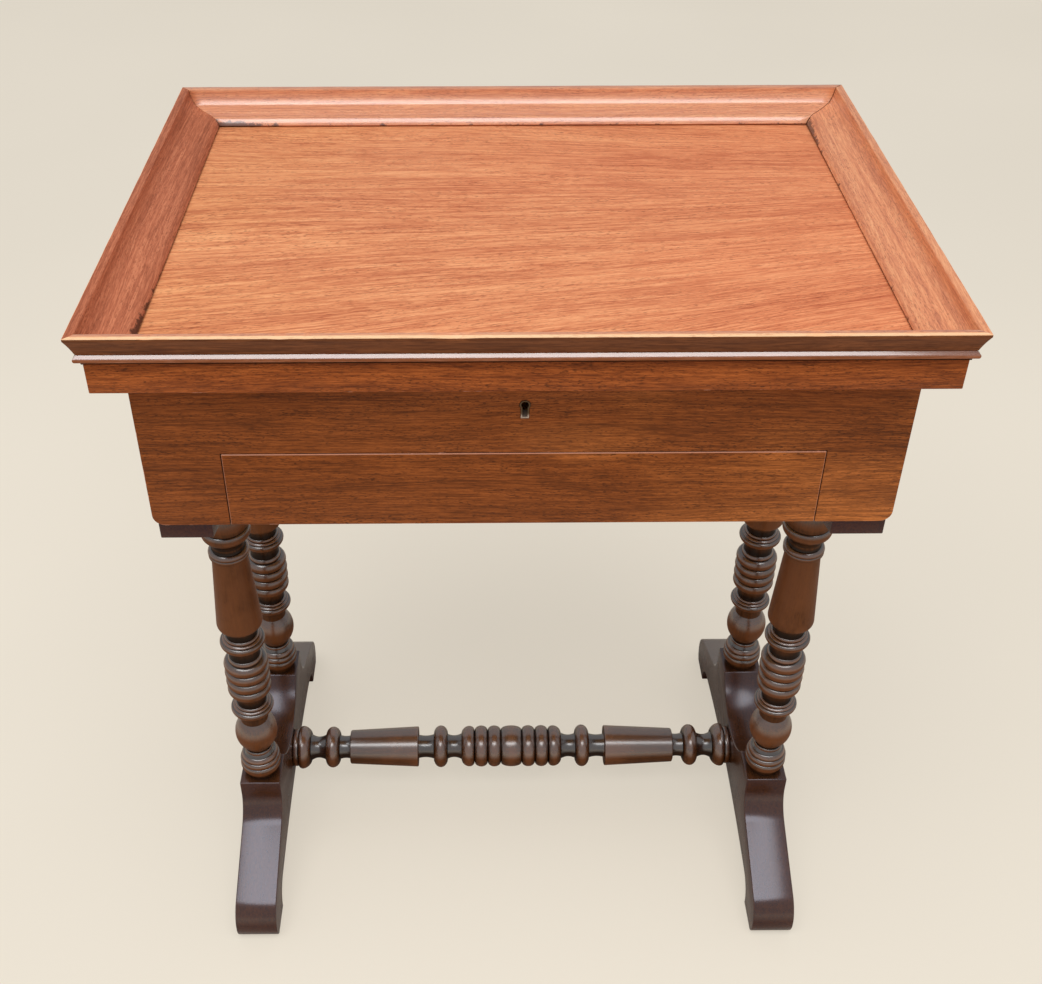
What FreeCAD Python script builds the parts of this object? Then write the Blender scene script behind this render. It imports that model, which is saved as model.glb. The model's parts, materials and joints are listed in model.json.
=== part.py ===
import FreeCAD, Part
import math
import os

# A small dressing table: a lift-up lid with a sunk panel and a mirror under it, on a
# shallow case with a hidden drawer, carried by two trestle ends of turned legs that a
# turned stretcher joins. Millimetres, +X to the right, +Y to the back, +Z up, with the
# origin on the floor under the middle of the lid.

os.makedirs("parts", exist_ok=True)

Vector = FreeCAD.Vector
ORIGIN = Vector(0, 0, 0)
X_AXIS = Vector(1, 0, 0)
Y_AXIS = Vector(0, 1, 0)
Z_AXIS = Vector(0, 0, 1)

# Whole table
lid_width = 600.0
lid_depth = 432.4
table_height = 705.6

# Fits and cutting overrun
overrun = 5.0
seat_gap = 0.2
slide_gap = 0.8
joint_gap = 0.1
pin_gap = 0.05

# Lid: a frame of rails round a panel, with a mitred moulding on top of both
moulding_height = 23.6
moulding_width = 36.6
rail_height = 23.9
rail_inset = 7.8
rail_cover = 31.0
ledge_cover = 48.0
panel_thickness = 12.5

# Section of the moulding, from the outside of the rim inwards
rim_flat = 5.0
rim_round = 1.0
quarter_bow_share = 0.207
rim_lip = 2.4
rim_hollow_in = 4.6
rim_hollow_dip = 0.3
bead_height = 7.4
bead_lift = 2.6
bead_recess = 6.8
bead_setback = 3.0
bead_quirk = 1.6
cove_width = 7.6
cove_drop = 12.2
cove_bow_share = -0.17
slope_width = 13.4
slope_drop = 3.4
foot_round_drop = 6.4
foot_round_bow_share = 0.177
foot_quirk = 1.2

# Mirror under the lid
mirror_thickness = 4.0
mirror_strip_width = 24.0
mirror_strip_height = 6.0
mirror_strip_edge = 2.1
mirror_strip_bow_share = 0.138
mirror_edge_gap = 1.5

# Case
case_inset = 27.4
case_height = 131.0
front_thickness = 18.0
side_thickness = 12.0
back_thickness = 12.0
case_corner_radius = 9.0
well_floor_thickness = 8.0
bottom_board_thickness = 10.0
divider_spacing = 95.0
divider_thickness = 5.0
divider_height = 42.0

# Drawer
drawer_margin = 57.1
drawer_height = 65.0
drawer_reveal = 0.5
drawer_front_thickness = 16.0
drawer_side_thickness = 12.0
drawer_side_drop = 4.0
drawer_side_foot = 3.0
drawer_back_thickness = 8.0
drawer_bottom_thickness = 5.0
drawer_bottom_lift = 5.0
drawer_tongue = 4.0
drawer_rear_space = 17.0
partition_thickness = 12.0
runner_height = 8.0
runner_depth = 6.0
runner_drop = 28.0
stop_height = 20.0

# Keyhole and lock
keyhole_drop = 24.4
keyhole_radius = 2.7
keyhole_slot_width = 3.6
keyhole_slot_length = 10.0
escutcheon_wall = 1.1
escutcheon_proud = 0.3
lock_width = 60.0
lock_height = 46.0
lock_depth = 12.0
lock_recess = 9.0
selvedge_overlap = 3.0
plate_thickness = 1.6
bolt_width = 16.0
bolt_thickness = 5.0
bolt_length = 18.0
bolt_back = 4.0
bolt_throw = 6.0
strike_margin = 5.0
strike_width = 36.0

# Hinges
hinge_spacing = 150.0
hinge_length = 51.0
hinge_leaf_width = 10.0
hinge_setback = 3.2
knuckle_radius = 2.9
knuckle_recess = 0.5
knuckle_count = 3
pin_radius = 1.5

# Trestle ends
leg_inset = 50.0
leg_y = 71.0
block_width = 39.4
foot_block_top = 113.2
foot_half_length = 188.0
foot_pad_inner = 150.0
foot_pad_outer = 182.0
foot_shoulder_drop = 15.7
foot_hollow_width = 18.0
foot_hollow_drop = 27.5
foot_hollow_bow_share = -0.149
toe_top = 42.5
toe_setback = 16.5
toe_bow_share = 0.156
toe_nose = 17.2
toe_nose_bow_share = 0.1
arch_spring = 25.0
arch_spring_inset = 18.0
arch_spring_bow_share = -0.209
arch_crown = 36.0
arch_bow_share = -0.021
saddle_margin = 2.7
saddle_dip = 28.2
saddle_bow_share = -0.1225
bearer_block_drop = 81.0
bearer_end_height = 14.0
bearer_end_setback = 2.0
bearer_hollow_width = 17.0
bearer_hollow_rise = 21.0
bearer_hollow_bow_share = -0.196
bearer_saddle_rise = 30.0
bearer_saddle_crown = 44.0
bearer_saddle_bow_share = -0.063

# Turned work
leg_radius = 21.5
turned_flats = 16
tenon_radius = 9.5
tenon_length = 20.0
stretcher_height = 60.0
stretcher_radius = 22.0
stretcher_tenon_radius = 8.0
stretcher_tenon_length = 15.0

# Worked out from the sizes above
half_width = lid_width / 2
half_depth = lid_depth / 2
moulding_z = table_height - moulding_height
lid_z = moulding_z - rail_height
case_top = lid_z - seat_gap
case_z = case_top - case_height
case_x = half_width - case_inset
case_y = half_depth - case_inset
inner_x = case_x - side_thickness
drawer_half_width = case_x - drawer_margin
front_back_y = -case_y + front_thickness
back_front_y = case_y - back_thickness
partition_x = drawer_half_width + drawer_reveal + slide_gap
drawer_top = case_z + drawer_height
well_floor_z = drawer_top + drawer_reveal + slide_gap
well_z = well_floor_z + well_floor_thickness
leg_x = half_width - leg_inset
block_half = block_width / 2
bearer_block_z = case_z - bearer_block_drop

# Turned work, set out as shares: each element has its length as a share of the whole
# turned length (the list's sum), the radius of its middle, or None where it runs straight,
# and the radius at its far end, both as shares of the piece's largest radius.
leg_start_share = 0.69
leg_shares = [
    (5.3, None, 0.71),
    (11.5, 0.90, 0.81),
    (6.6, 0.89, 0.79),
    (5.9, 0.80, 0.69),
    (9.7, None, 0.605),
    (8.2, 0.74, 0.84),
    (18.4, 0.935, 0.87),
    (9.2, 0.76, 0.615),
    (11.5, None, 0.64),
    (8.9, 0.92, 0.81),
    (4.9, None, 0.64),
    (12.4, None, 0.70),
    (11.1, 0.95, 0.77),
    (11.1, 0.96, 0.77),
    (11.1, 0.965, 0.77),
    (11.1, 0.955, 0.72),
    (16.1, None, 0.68),
    (9.4, 0.95, 0.82),
    (5.4, None, 0.68),
    (10.0, None, 0.66),
    (6.0, 0.92, 0.967),
    (79.0, None, 0.72),
    (9.0, 0.83, 0.69),
    (4.0, None, 0.65),
    (9.0, 0.76, 0.86),
    (10.4, 1.0, 0.90),
    (17.5, 0.91, 0.80),
]
stretcher_start_share = 0.84
half_stretcher_shares = [
    (5.5, None, 0.88),
    (13.0, 0.98, 0.60),
    (15.4, 0.50, 0.60),
    (15.0, 0.96, 0.56),
    (10.8, None, 0.54),
    (0.9, None, 0.79),
    (70.9, None, 0.955),
    (0.9, None, 0.54),
    (15.8, None, 0.56),
    (15.0, 0.98, 0.58),
    (14.4, None, 0.60),
    (13.9, 0.95, 0.74),
    (13.9, 0.965, 0.74),
    (13.9, 0.965, 0.74),
    (4.0, None, 0.93),
    (7.0, None, 0.96),
]


def block(x0, x1, y0, y1, z0, z1):
    """Return a rectangular board between two corners."""
    return Part.makeBox(x1 - x0, y1 - y0, z1 - z0, Vector(x0, y0, z0))


def mirrored(shape, normal=X_AXIS):
    """Return the shape on the other side of the table's middle."""
    return shape.mirror(ORIGIN, normal)


def fused(shapes):
    """Return one solid made of touching shapes."""
    result = shapes[0]
    for shape in shapes[1:]:
        result = result.fuse(shape)
    return result.removeSplitter()


def outline_face(start, steps, place):
    """Return a face bounded by lines and three-point arcs.

    A step is an end point, or a pair of a point passed through and an end point.
    place turns the two numbers of an outline point into a place in space.
    """
    edges = []
    here = place(*start)
    for step in steps:
        if isinstance(step[0], tuple):
            middle = place(*step[0])
            end = place(*step[1])
            edges.append(Part.Arc(here, middle, end).toShape())
        else:
            end = place(*step)
            edges.append(Part.LineSegment(here, end).toShape())
        here = end
    return Part.Face(Part.Wire(edges))


def bowed(start, end, bow_share):
    """Return an arc step to end that bows out to the left by a share of its chord."""
    a0, b0 = start
    a1, b1 = end
    middle = ((a0 + a1) / 2 - (b1 - b0) * bow_share, (b0 + b1) / 2 + (a1 - a0) * bow_share)
    return middle, end


def save(name, shape):
    """Write one node."""
    shape.exportStep(os.path.join("parts", name + ".step"))


# Turning

def turned_solid(outline, place):
    """Return a turned solid from outline points (radius, distance along).

    It has flats round it instead of true curves, which keeps every ring of the outline
    while the piece stays light. place turns the two numbers across the axis and the one
    along it into a place in space.
    """
    step = 2 * math.pi / turned_flats
    rings = []
    for radius, along in outline:
        ring = []
        for index in range(turned_flats):
            angle = (index + 1 / 2) * step
            ring.append(place(radius * math.cos(angle), radius * math.sin(angle), along))
        rings.append(ring)
    faces = [Part.Face(Part.makePolygon(ring + ring[:1])) for ring in (rings[0], rings[-1])]
    for lower, upper in zip(rings, rings[1:]):
        for index in range(turned_flats):
            corners = [lower[index - 1], lower[index], upper[index], upper[index - 1]]
            faces.append(Part.Face(Part.makePolygon(corners + corners[:1])))
    shell = Part.makeShell(faces)
    shell.sewShape()
    solid = Part.makeSolid(shell)
    if solid.Volume < 0:
        solid.reverse()
    return solid


def turned_points(start_share, elements, length, radius):
    """Return the outline points (radius, distance along) of a turned stretch."""
    scale = length / sum(element[0] for element in elements)
    points = [(start_share * radius, 0)]
    at = 0
    for length_share, middle_share, end_share in elements:
        if middle_share is not None:
            points.append((middle_share * radius, at + length_share * scale / 2))
        at = at + length_share * scale
        points.append((end_share * radius, at))
    return points


def upright_place(a, b, along):
    """Return a place on the front right leg's axis, from its lower shoulder up."""
    return Vector(leg_x + a, -leg_y + b, foot_block_top + along)


def level_place(a, b, along):
    """Return a place on the stretcher's axis, from its left shoulder to the right."""
    return Vector(-leg_x + block_half + along, a, stretcher_height + b)


def make_leg():
    """Return the front right leg with a round tenon at each end."""
    length = bearer_block_z - foot_block_top
    points = turned_points(leg_start_share, leg_shares, length, leg_radius)
    reach = tenon_length - joint_gap
    radius = tenon_radius - joint_gap
    foot_end = [(radius, -reach), (radius, 0)]
    bearer_end = [(radius, length), (radius, length + reach)]
    return turned_solid(foot_end + points + bearer_end, upright_place)


def leg_mortises(board):
    """Return the board with the holes for both right legs' tenons."""
    length = bearer_block_z - foot_block_top
    tenons = turned_solid(
        [(tenon_radius, -tenon_length), (tenon_radius, length + tenon_length)], upright_place)
    return board.cut(tenons).cut(mirrored(tenons, Y_AXIS))


def make_stretcher():
    """Return the turned bar between the feet, the same towards both ends."""
    half = leg_x - block_half
    points = turned_points(stretcher_start_share, half_stretcher_shares, half, stretcher_radius)
    far_half = [(radius, half * 2 - along) for radius, along in reversed(points[:-1])]
    reach = stretcher_tenon_length - joint_gap
    radius = stretcher_tenon_radius - joint_gap
    left_end = [(radius, -reach), (radius, 0)]
    right_end = [(radius, half * 2), (radius, half * 2 + reach)]
    return turned_solid(left_end + points + far_half + right_end, level_place)


def stretcher_mortise(foot):
    """Return the right foot with the hole for the stretcher's tenon."""
    length = (leg_x - block_half) * 2
    tenon = turned_solid(
        [(stretcher_tenon_radius, 0), (stretcher_tenon_radius, length + stretcher_tenon_length)],
        level_place)
    return foot.cut(tenon)


# Trestle ends

def symmetric_board(front_points):
    """Return the right-hand board from one half outline given as steps over (y, z).

    The steps run from the middle of one long edge round the back end to the middle of
    the other long edge, and the front half is their mirror image.
    """

    def place(y, z):
        return Vector(leg_x - block_half, y, z)

    half = outline_face(front_points[0], front_points[1:] + [front_points[0]], place)
    board = half.extrude(Vector(block_width, 0, 0))
    return fused([board, mirrored(board, Y_AXIS)])


def make_foot():
    """Return the right foot: two square blocks, a saddle between, toes and an arch."""
    inner = leg_y - block_half
    outer = leg_y + block_half
    shoulder_z = foot_block_top - foot_shoulder_drop
    hollow_y = outer + foot_hollow_width
    hollow_z = shoulder_z - foot_hollow_drop
    toe_y = foot_half_length - toe_setback
    spring_y = foot_pad_inner - arch_spring_inset
    saddle_y = inner + saddle_margin
    saddle_z = foot_block_top - saddle_dip
    points = [
        (0, saddle_z),
        bowed((0, saddle_z), (saddle_y, foot_block_top), saddle_bow_share),
        (outer, foot_block_top),
        (outer, shoulder_z),
        bowed((outer, shoulder_z), (hollow_y, hollow_z), foot_hollow_bow_share),
        (toe_y, toe_top),
        bowed((toe_y, toe_top), (foot_half_length, toe_nose), toe_bow_share),
        bowed((foot_half_length, toe_nose), (foot_pad_outer, 0), toe_nose_bow_share),
        (foot_pad_inner, 0),
        bowed((foot_pad_inner, 0), (spring_y, arch_spring), arch_spring_bow_share),
        bowed((spring_y, arch_spring), (0, arch_crown), arch_bow_share),
    ]
    return stretcher_mortise(leg_mortises(symmetric_board(points)))


def bearer_underside_z(y):
    """Return the height of the bearer's sloping underside at a distance from the middle."""
    outer = leg_y + block_half
    slope_y = outer + bearer_hollow_width
    slope_z = bearer_block_z + block_half + bearer_hollow_rise
    end_y = case_y - bearer_end_setback
    end_z = case_z - bearer_end_height
    return slope_z + (end_z - slope_z) * (y - slope_y) / (end_y - slope_y)


def make_bearer():
    """Return the right bearer under the case: like the foot upside down, but slimmer."""
    inner = leg_y - block_half
    outer = leg_y + block_half
    end_y = case_y - bearer_end_setback
    end_z = case_z - bearer_end_height
    slope_y = outer + bearer_hollow_width
    slope_z = bearer_underside_z(slope_y)
    shoulder_z = bearer_block_z + block_half
    saddle_z = bearer_block_z + bearer_saddle_crown
    saddle_end_z = bearer_block_z + bearer_saddle_rise
    points = [
        (0, case_z),
        (end_y, case_z),
        (end_y, end_z),
        (slope_y, slope_z),
        bowed((slope_y, slope_z), (outer, shoulder_z), bearer_hollow_bow_share),
        (outer, bearer_block_z),
        (inner, bearer_block_z),
        (inner, saddle_end_z),
        bowed((inner, saddle_end_z), (0, saddle_z), bearer_saddle_bow_share),
    ]
    return leg_mortises(symmetric_board(points))


# Case

def keyhole_prism(grow, y0, y1):
    """Return a keyhole-shaped prism along Y, grown outwards by a wall."""
    centre_z = case_top - keyhole_drop
    bow = Part.makeCylinder(
        keyhole_radius + grow, y1 - y0, Vector(0, y0, centre_z), Y_AXIS)
    half_slot = keyhole_slot_width / 2 + grow
    slot = block(-half_slot, half_slot, y0, y1, centre_z - keyhole_slot_length - grow, centre_z)
    return fused([bow, slot])


def rounded_lower_edge(board, radius, corner_x):
    """Round the edges along Y at the case's lower outside corners."""
    edges = []
    for edge in board.Edges:
        box = edge.BoundBox
        low = abs(box.ZMin - case_z) < seat_gap and abs(box.ZMax - case_z) < seat_gap
        outside = abs(abs(box.XMin) - corner_x) < seat_gap and abs(box.XLength) < seat_gap
        if low and outside and box.YLength > radius:
            edges.append(edge)
    return board.makeFillet(radius, edges)


def lock_pocket():
    """Return the space of the lock's box and its top plate."""
    y0 = front_back_y - lock_recess
    y1 = y0 + lock_depth
    half = lock_width / 2
    box = block(-half, half, y0, y1, case_top - lock_height, case_top)
    plate = block(
        -half - selvedge_overlap, half + selvedge_overlap, y0 - selvedge_overlap / 2, y1,
        case_top - plate_thickness, case_top)
    return fused([box, plate])


def make_case_front():
    """Return the front board, cut out for the drawer, the keyhole and the lock."""
    board = block(-case_x, case_x, -case_y, front_back_y, case_z, case_top)
    opening_x = drawer_half_width + drawer_reveal
    opening = block(
        -opening_x, opening_x, -case_y - overrun, front_back_y + overrun,
        case_z - overrun, drawer_top + drawer_reveal)
    board = rounded_lower_edge(board, case_corner_radius, case_x)
    board = board.cut(opening)
    board = board.cut(keyhole_prism(escutcheon_wall, -case_y - overrun, front_back_y))
    return board.cut(lock_pocket())


def make_case_side():
    """Return the right side board, rounded along its lower outside edge."""
    board = block(inner_x, case_x, front_back_y, back_front_y, case_z, case_top)
    return rounded_lower_edge(board, case_corner_radius, case_x)


def make_case_back():
    """Return the back board with seats for the hinge leaves along its top edge."""
    board = block(-case_x, case_x, back_front_y, case_y, case_z, case_top)
    board = rounded_lower_edge(board, case_corner_radius, case_x)
    leaf_y = case_y - hinge_leaf_width
    for centre_x in (-hinge_spacing, hinge_spacing):
        board = board.cut(block(
            centre_x - hinge_length / 2, centre_x + hinge_length / 2, leaf_y, case_y + overrun,
            case_top - plate_thickness, case_top + overrun))
    return board


def make_escutcheon():
    """Return the brass lining of the keyhole."""
    y0 = -case_y - escutcheon_proud
    y1 = front_back_y - lock_recess
    outer = keyhole_prism(escutcheon_wall, y0, y1)
    return outer.cut(keyhole_prism(0, y0 - overrun, y1 + overrun))


def bolt_block(gap, z0, z1):
    """Return the bolt's section between two heights, grown by a gap."""
    y0 = front_back_y - lock_recess + bolt_back
    return block(
        -bolt_width / 2 - gap, bolt_width / 2 + gap, y0 - gap, y0 + bolt_thickness + gap, z0, z1)


def make_lock_body():
    """Return the box lock with its top plate, keyway and the channel of its bolt."""
    lock = lock_pocket()
    channel_z = case_top - seat_gap - bolt_length
    lock = lock.cut(bolt_block(seat_gap, channel_z - seat_gap, case_top + overrun))
    y0 = front_back_y - lock_recess
    return lock.cut(keyhole_prism(0, y0 - overrun, y0 + bolt_back + bolt_thickness))


def make_lock_bolt():
    """Return the bolt, drawn back level with the lock's top plate."""
    top = case_top - seat_gap
    return bolt_block(0, top - bolt_length, top)


def make_runner():
    """Return the right runner, which the drawer's grooved side hangs on."""
    top = drawer_top - runner_drop
    return block(
        partition_x - runner_depth, partition_x, front_back_y, back_front_y,
        top - runner_height, top)


def make_drawer_stop():
    """Return the right stop block behind the drawer."""
    drawer_end_y = back_front_y - drawer_rear_space
    inner = drawer_half_width - drawer_side_thickness
    top = well_floor_z
    return block(inner, partition_x, drawer_end_y + seat_gap, back_front_y, top - stop_height, top)


# Drawer

def make_drawer_front():
    """Return the plain drawer front, grooved for the bottom board."""
    y0 = -case_y
    front = block(
        -drawer_half_width, drawer_half_width, y0, y0 + drawer_front_thickness,
        case_z, drawer_top)
    half_tongue = drawer_half_width - drawer_side_thickness + drawer_tongue
    bottom_z = drawer_floor_z()
    groove = block(
        -half_tongue, half_tongue, y0 + drawer_front_thickness - drawer_tongue,
        y0 + drawer_front_thickness + overrun, bottom_z, bottom_z + drawer_bottom_thickness)
    return front.cut(groove)


def drawer_floor_z():
    """Return the height of the underside of the drawer's bottom board."""
    return case_z + drawer_side_foot + drawer_bottom_lift


def make_drawer_side():
    """Return the right side, grooved outside for the runner and inside for the bottom."""
    y0 = -case_y + drawer_front_thickness
    y1 = back_front_y - drawer_rear_space
    x0 = drawer_half_width - drawer_side_thickness
    side = block(
        x0, drawer_half_width, y0, y1, case_z + drawer_side_foot, drawer_top - drawer_side_drop)
    runner_top = drawer_top - runner_drop
    runner_groove = block(
        partition_x - runner_depth - slide_gap, drawer_half_width + overrun, y0 - overrun,
        y1 + overrun, runner_top - runner_height - slide_gap, runner_top + seat_gap)
    bottom_z = drawer_floor_z()
    bottom_groove = block(
        x0 - overrun, x0 + drawer_tongue, y0 - overrun, y1 + overrun,
        bottom_z, bottom_z + drawer_bottom_thickness)
    return side.cut(runner_groove).cut(bottom_groove)


def make_drawer_back():
    """Return the back board, standing on the bottom board between the sides."""
    y1 = back_front_y - drawer_rear_space
    half = drawer_half_width - drawer_side_thickness
    z0 = drawer_floor_z() + drawer_bottom_thickness
    return block(-half, half, y1 - drawer_back_thickness, y1, z0, drawer_top - drawer_side_drop)


def make_drawer_bottom():
    """Return the bottom board, held in the grooves of the sides and the front."""
    half = drawer_half_width - drawer_side_thickness + drawer_tongue
    y0 = -case_y + drawer_front_thickness - drawer_tongue
    y1 = back_front_y - drawer_rear_space
    z0 = drawer_floor_z()
    return block(-half, half, y0, y1, z0, z0 + drawer_bottom_thickness)


# Lid

def mitre_prism(side, reach):
    """Return the wedge of the lid's plan that belongs to one side of a mitred frame."""
    long_x = side in ("front", "back")
    along = half_width if long_x else half_depth
    outer = half_depth if long_x else half_width
    sign = -1 if side in ("front", "left") else 1
    inner = outer - reach

    def place(a, b):
        if long_x:
            return Vector(a, sign * b, lid_z - overrun)
        return Vector(sign * b, a, lid_z - overrun)

    steps = [(along, outer), (along - reach, inner), (-along + reach, inner), (-along, outer)]
    wedge = outline_face((-along, outer), steps, place)
    return wedge.extrude(Vector(0, 0, table_height - lid_z + overrun * 2))


def mitred_strip(side, section_start, section_steps, reach):
    """Return one mitred strip whose section is given as (inset from the rim, height)."""
    long_x = side in ("front", "back")
    along = half_width if long_x else half_depth
    outer = half_depth if long_x else half_width
    sign = -1 if side in ("front", "left") else 1

    def place(inset, z):
        if long_x:
            return Vector(-along, sign * (outer - inset), z)
        return Vector(sign * (outer - inset), -along, z)

    section = outline_face(section_start, section_steps, place)
    run = Vector(along * 2, 0, 0) if long_x else Vector(0, along * 2, 0)
    strip = section.extrude(run)
    return strip.common(mitre_prism(side, reach))


def moulding_section():
    """Return the lid moulding's section: rim, hollow, bead, and the slope to the panel."""
    bottom = moulding_z
    bead_z = bottom + bead_lift
    bead_top = bead_z + bead_height
    hollow_top = table_height - rim_lip
    hollow_mid_z = (bead_top + hollow_top) / 2
    hollow_mid = rim_hollow_in / 2 + rim_hollow_dip
    cove_end = rim_flat + cove_width
    cove_z = table_height - cove_drop
    slope_end = cove_end + slope_width
    slope_z = cove_z - slope_drop
    foot_z = slope_z - foot_round_drop
    start = (bead_recess, bottom)
    steps = [
        (bead_recess, bead_z),
        ((bead_setback, bead_z + bead_height / 2), (rim_hollow_in + bead_quirk, bead_top)),
        (rim_hollow_in, bead_top),
        ((hollow_mid, hollow_mid_z), (0, hollow_top)),
        (0, table_height - rim_round),
        bowed((0, table_height - rim_round), (rim_round, table_height), quarter_bow_share),
        (rim_flat, table_height),
        bowed((rim_flat, table_height), (cove_end, cove_z), cove_bow_share),
        (slope_end, slope_z),
        bowed((slope_end, slope_z), (moulding_width, foot_z), foot_round_bow_share),
        (moulding_width - foot_quirk, bottom),
        start,
    ]
    return start, steps


def rail_section():
    """Return the section of a lid rail: an upright part with a ledge inside."""
    ledge_z = moulding_z - panel_thickness
    start = (rail_inset, lid_z)
    steps = [
        (rail_inset, moulding_z),
        (rail_cover, moulding_z),
        (rail_cover, ledge_z),
        (ledge_cover, ledge_z),
        (ledge_cover, lid_z),
        start,
    ]
    return start, steps


def make_lid_rail(side):
    """Return one rail of the lid's frame."""
    start, steps = rail_section()
    rail = mitred_strip(side, start, steps, ledge_cover)
    if side == "front":
        rail = rail.cut(strike_plate_block())
        rail = rail.cut(bolt_block(
            seat_gap, lid_z - overrun, lid_z + bolt_throw + plate_thickness))
    if side == "back":
        for centre_x in (-hinge_spacing, hinge_spacing):
            rail = rail.cut(lid_leaf_block(centre_x, hinge_y))
            rail = rail.cut(Part.makeCylinder(
                knuckle_radius + knuckle_recess, hinge_length + knuckle_recess * 2,
                Vector(centre_x - hinge_length / 2 - knuckle_recess, hinge_y, hinge_z), X_AXIS))
    return rail


def make_lid_moulding(side):
    """Return one mitred length of the moulding round the lid."""
    start, steps = moulding_section()
    return mitred_strip(side, start, steps, moulding_width)


def make_lid_panel():
    """Return the sunk panel, which lies on the rails' ledges."""
    x = half_width - rail_cover
    y = half_depth - rail_cover
    return block(-x, x, -y, y, moulding_z - panel_thickness, moulding_z)


def make_mirror():
    """Return the mirror glass against the panel's underside."""
    x = half_width - ledge_cover - mirror_edge_gap
    y = half_depth - ledge_cover - mirror_edge_gap
    top = moulding_z - panel_thickness
    return block(-x, x, -y, y, top - mirror_thickness, top)


def make_mirror_strip(side):
    """Return one mitred strip of the frame that keeps the mirror in."""
    top = moulding_z - panel_thickness - mirror_thickness
    bottom = top - mirror_strip_height
    inner = ledge_cover + mirror_strip_width
    start = (ledge_cover, bottom)
    steps = [
        (ledge_cover, top),
        (inner, top),
        (inner, top - mirror_strip_edge),
        bowed((inner, top - mirror_strip_edge), (inner - mirror_strip_width / 2, bottom),
              mirror_strip_bow_share),
        start,
    ]
    return mitred_strip(side, start, steps, inner)


def strike_plate_block():
    """Return the outline of the strike plate let into the front rail."""
    y0 = front_back_y - lock_recess + bolt_back
    return block(
        -strike_width / 2, strike_width / 2,
        y0 - strike_margin, y0 + bolt_thickness + slide_gap,
        lid_z, lid_z + plate_thickness)


def make_strike_plate():
    """Return the plate with the slot that the bolt shoots through."""
    slot = bolt_block(seat_gap, lid_z - overrun, lid_z + plate_thickness + overrun)
    return strike_plate_block().cut(slot)


# Hinges

hinge_y = case_y + hinge_setback
hinge_z = (case_top + lid_z) / 2
segment_length = hinge_length / knuckle_count


def lid_leaf_block(centre_x, y1):
    """Return the space of one lid leaf in the back rail's underside, as far as y1."""
    return block(
        centre_x - hinge_length / 2, centre_x + hinge_length / 2,
        case_y - hinge_leaf_width, y1, lid_z, lid_z + plate_thickness)


def case_leaf_block(centre_x):
    """Return one leaf let into the case back's top edge."""
    return block(
        centre_x - hinge_length / 2, centre_x + hinge_length / 2,
        case_y - hinge_leaf_width, case_y, case_top - plate_thickness, case_top)


def make_knuckle(centre_x, index, z0, z1):
    """Return one knuckle with the tab that joins it to its plate between two heights."""
    x0 = centre_x - hinge_length / 2 + index * segment_length + seat_gap / 2
    x1 = x0 + segment_length - seat_gap
    knuckle = Part.makeCylinder(knuckle_radius, x1 - x0, Vector(x0, hinge_y, hinge_z), X_AXIS)
    return knuckle.fuse(block(x0, x1, case_y - seat_gap, hinge_y, z0, z1))


def make_case_hinge_leaf(centre_x):
    """Return the case's leaf of one hinge with its two outer knuckles."""
    leaf = case_leaf_block(centre_x)
    for index in (0, knuckle_count - 1):
        leaf = leaf.fuse(make_knuckle(centre_x, index, case_top - plate_thickness, case_top))
    return leaf.removeSplitter()


def make_lid_hinge_leaf(centre_x):
    """Return the lid's leaf of one hinge with the middle knuckle, bored for the pin."""
    leaf = lid_leaf_block(centre_x, case_y).fuse(
        make_knuckle(centre_x, 1, lid_z, lid_z + plate_thickness))
    bore = Part.makeCylinder(
        pin_radius + pin_gap, hinge_length, Vector(centre_x - hinge_length / 2, hinge_y, hinge_z),
        X_AXIS)
    return leaf.cut(bore).removeSplitter()


def make_hinge_pin(centre_x):
    """Return the pin of one hinge, which the case's two knuckles hold between them."""
    return Part.makeCylinder(
        pin_radius, segment_length + seat_gap,
        Vector(centre_x - (segment_length + seat_gap) / 2, hinge_y, hinge_z), X_AXIS)


# Build the nodes

hinge_centres = (-hinge_spacing, hinge_spacing)
foot = make_foot()
save("right_foot", foot)
save("left_foot", mirrored(foot))

bearer = make_bearer()
save("right_bearer", bearer)
save("left_bearer", mirrored(bearer))

leg = make_leg()
save("front_right_leg", leg)
save("front_left_leg", mirrored(leg))
save("rear_right_leg", mirrored(leg, Y_AXIS))
save("rear_left_leg", mirrored(mirrored(leg), Y_AXIS))
save("stretcher", make_stretcher())

save("case_front", make_case_front())
case_side = make_case_side()
save("case_right_side", case_side)
save("case_left_side", mirrored(case_side))
save("case_back", make_case_back())

bottom_board = block(
    partition_x, inner_x, front_back_y, back_front_y, case_z, case_z + bottom_board_thickness)
save("right_bottom_board", bottom_board)
save("left_bottom_board", mirrored(bottom_board))

partition = block(
    partition_x, partition_x + partition_thickness, front_back_y, back_front_y,
    case_z + bottom_board_thickness, well_floor_z)
save("right_drawer_partition", partition)
save("left_drawer_partition", mirrored(partition))
runner = make_runner()
save("right_runner", runner)
save("left_runner", mirrored(runner))
stop = make_drawer_stop()
save("drawer_stops", Part.makeCompound([mirrored(stop), stop]))

save("well_floor", block(
    -inner_x, inner_x, front_back_y, back_front_y, well_floor_z, well_z))
divider = block(
    divider_spacing - divider_thickness / 2, divider_spacing + divider_thickness / 2,
    front_back_y, back_front_y, well_z, well_z + divider_height)
save("right_well_divider", divider)
save("left_well_divider", mirrored(divider))

save("keyhole_escutcheon", make_escutcheon())
save("lock_body", make_lock_body())
save("lock_bolt", make_lock_bolt())

save("drawer_front", make_drawer_front())
drawer_side = make_drawer_side()
save("drawer_right_side", drawer_side)
save("drawer_left_side", mirrored(drawer_side))
save("drawer_back", make_drawer_back())
save("drawer_bottom", make_drawer_bottom())

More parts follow.
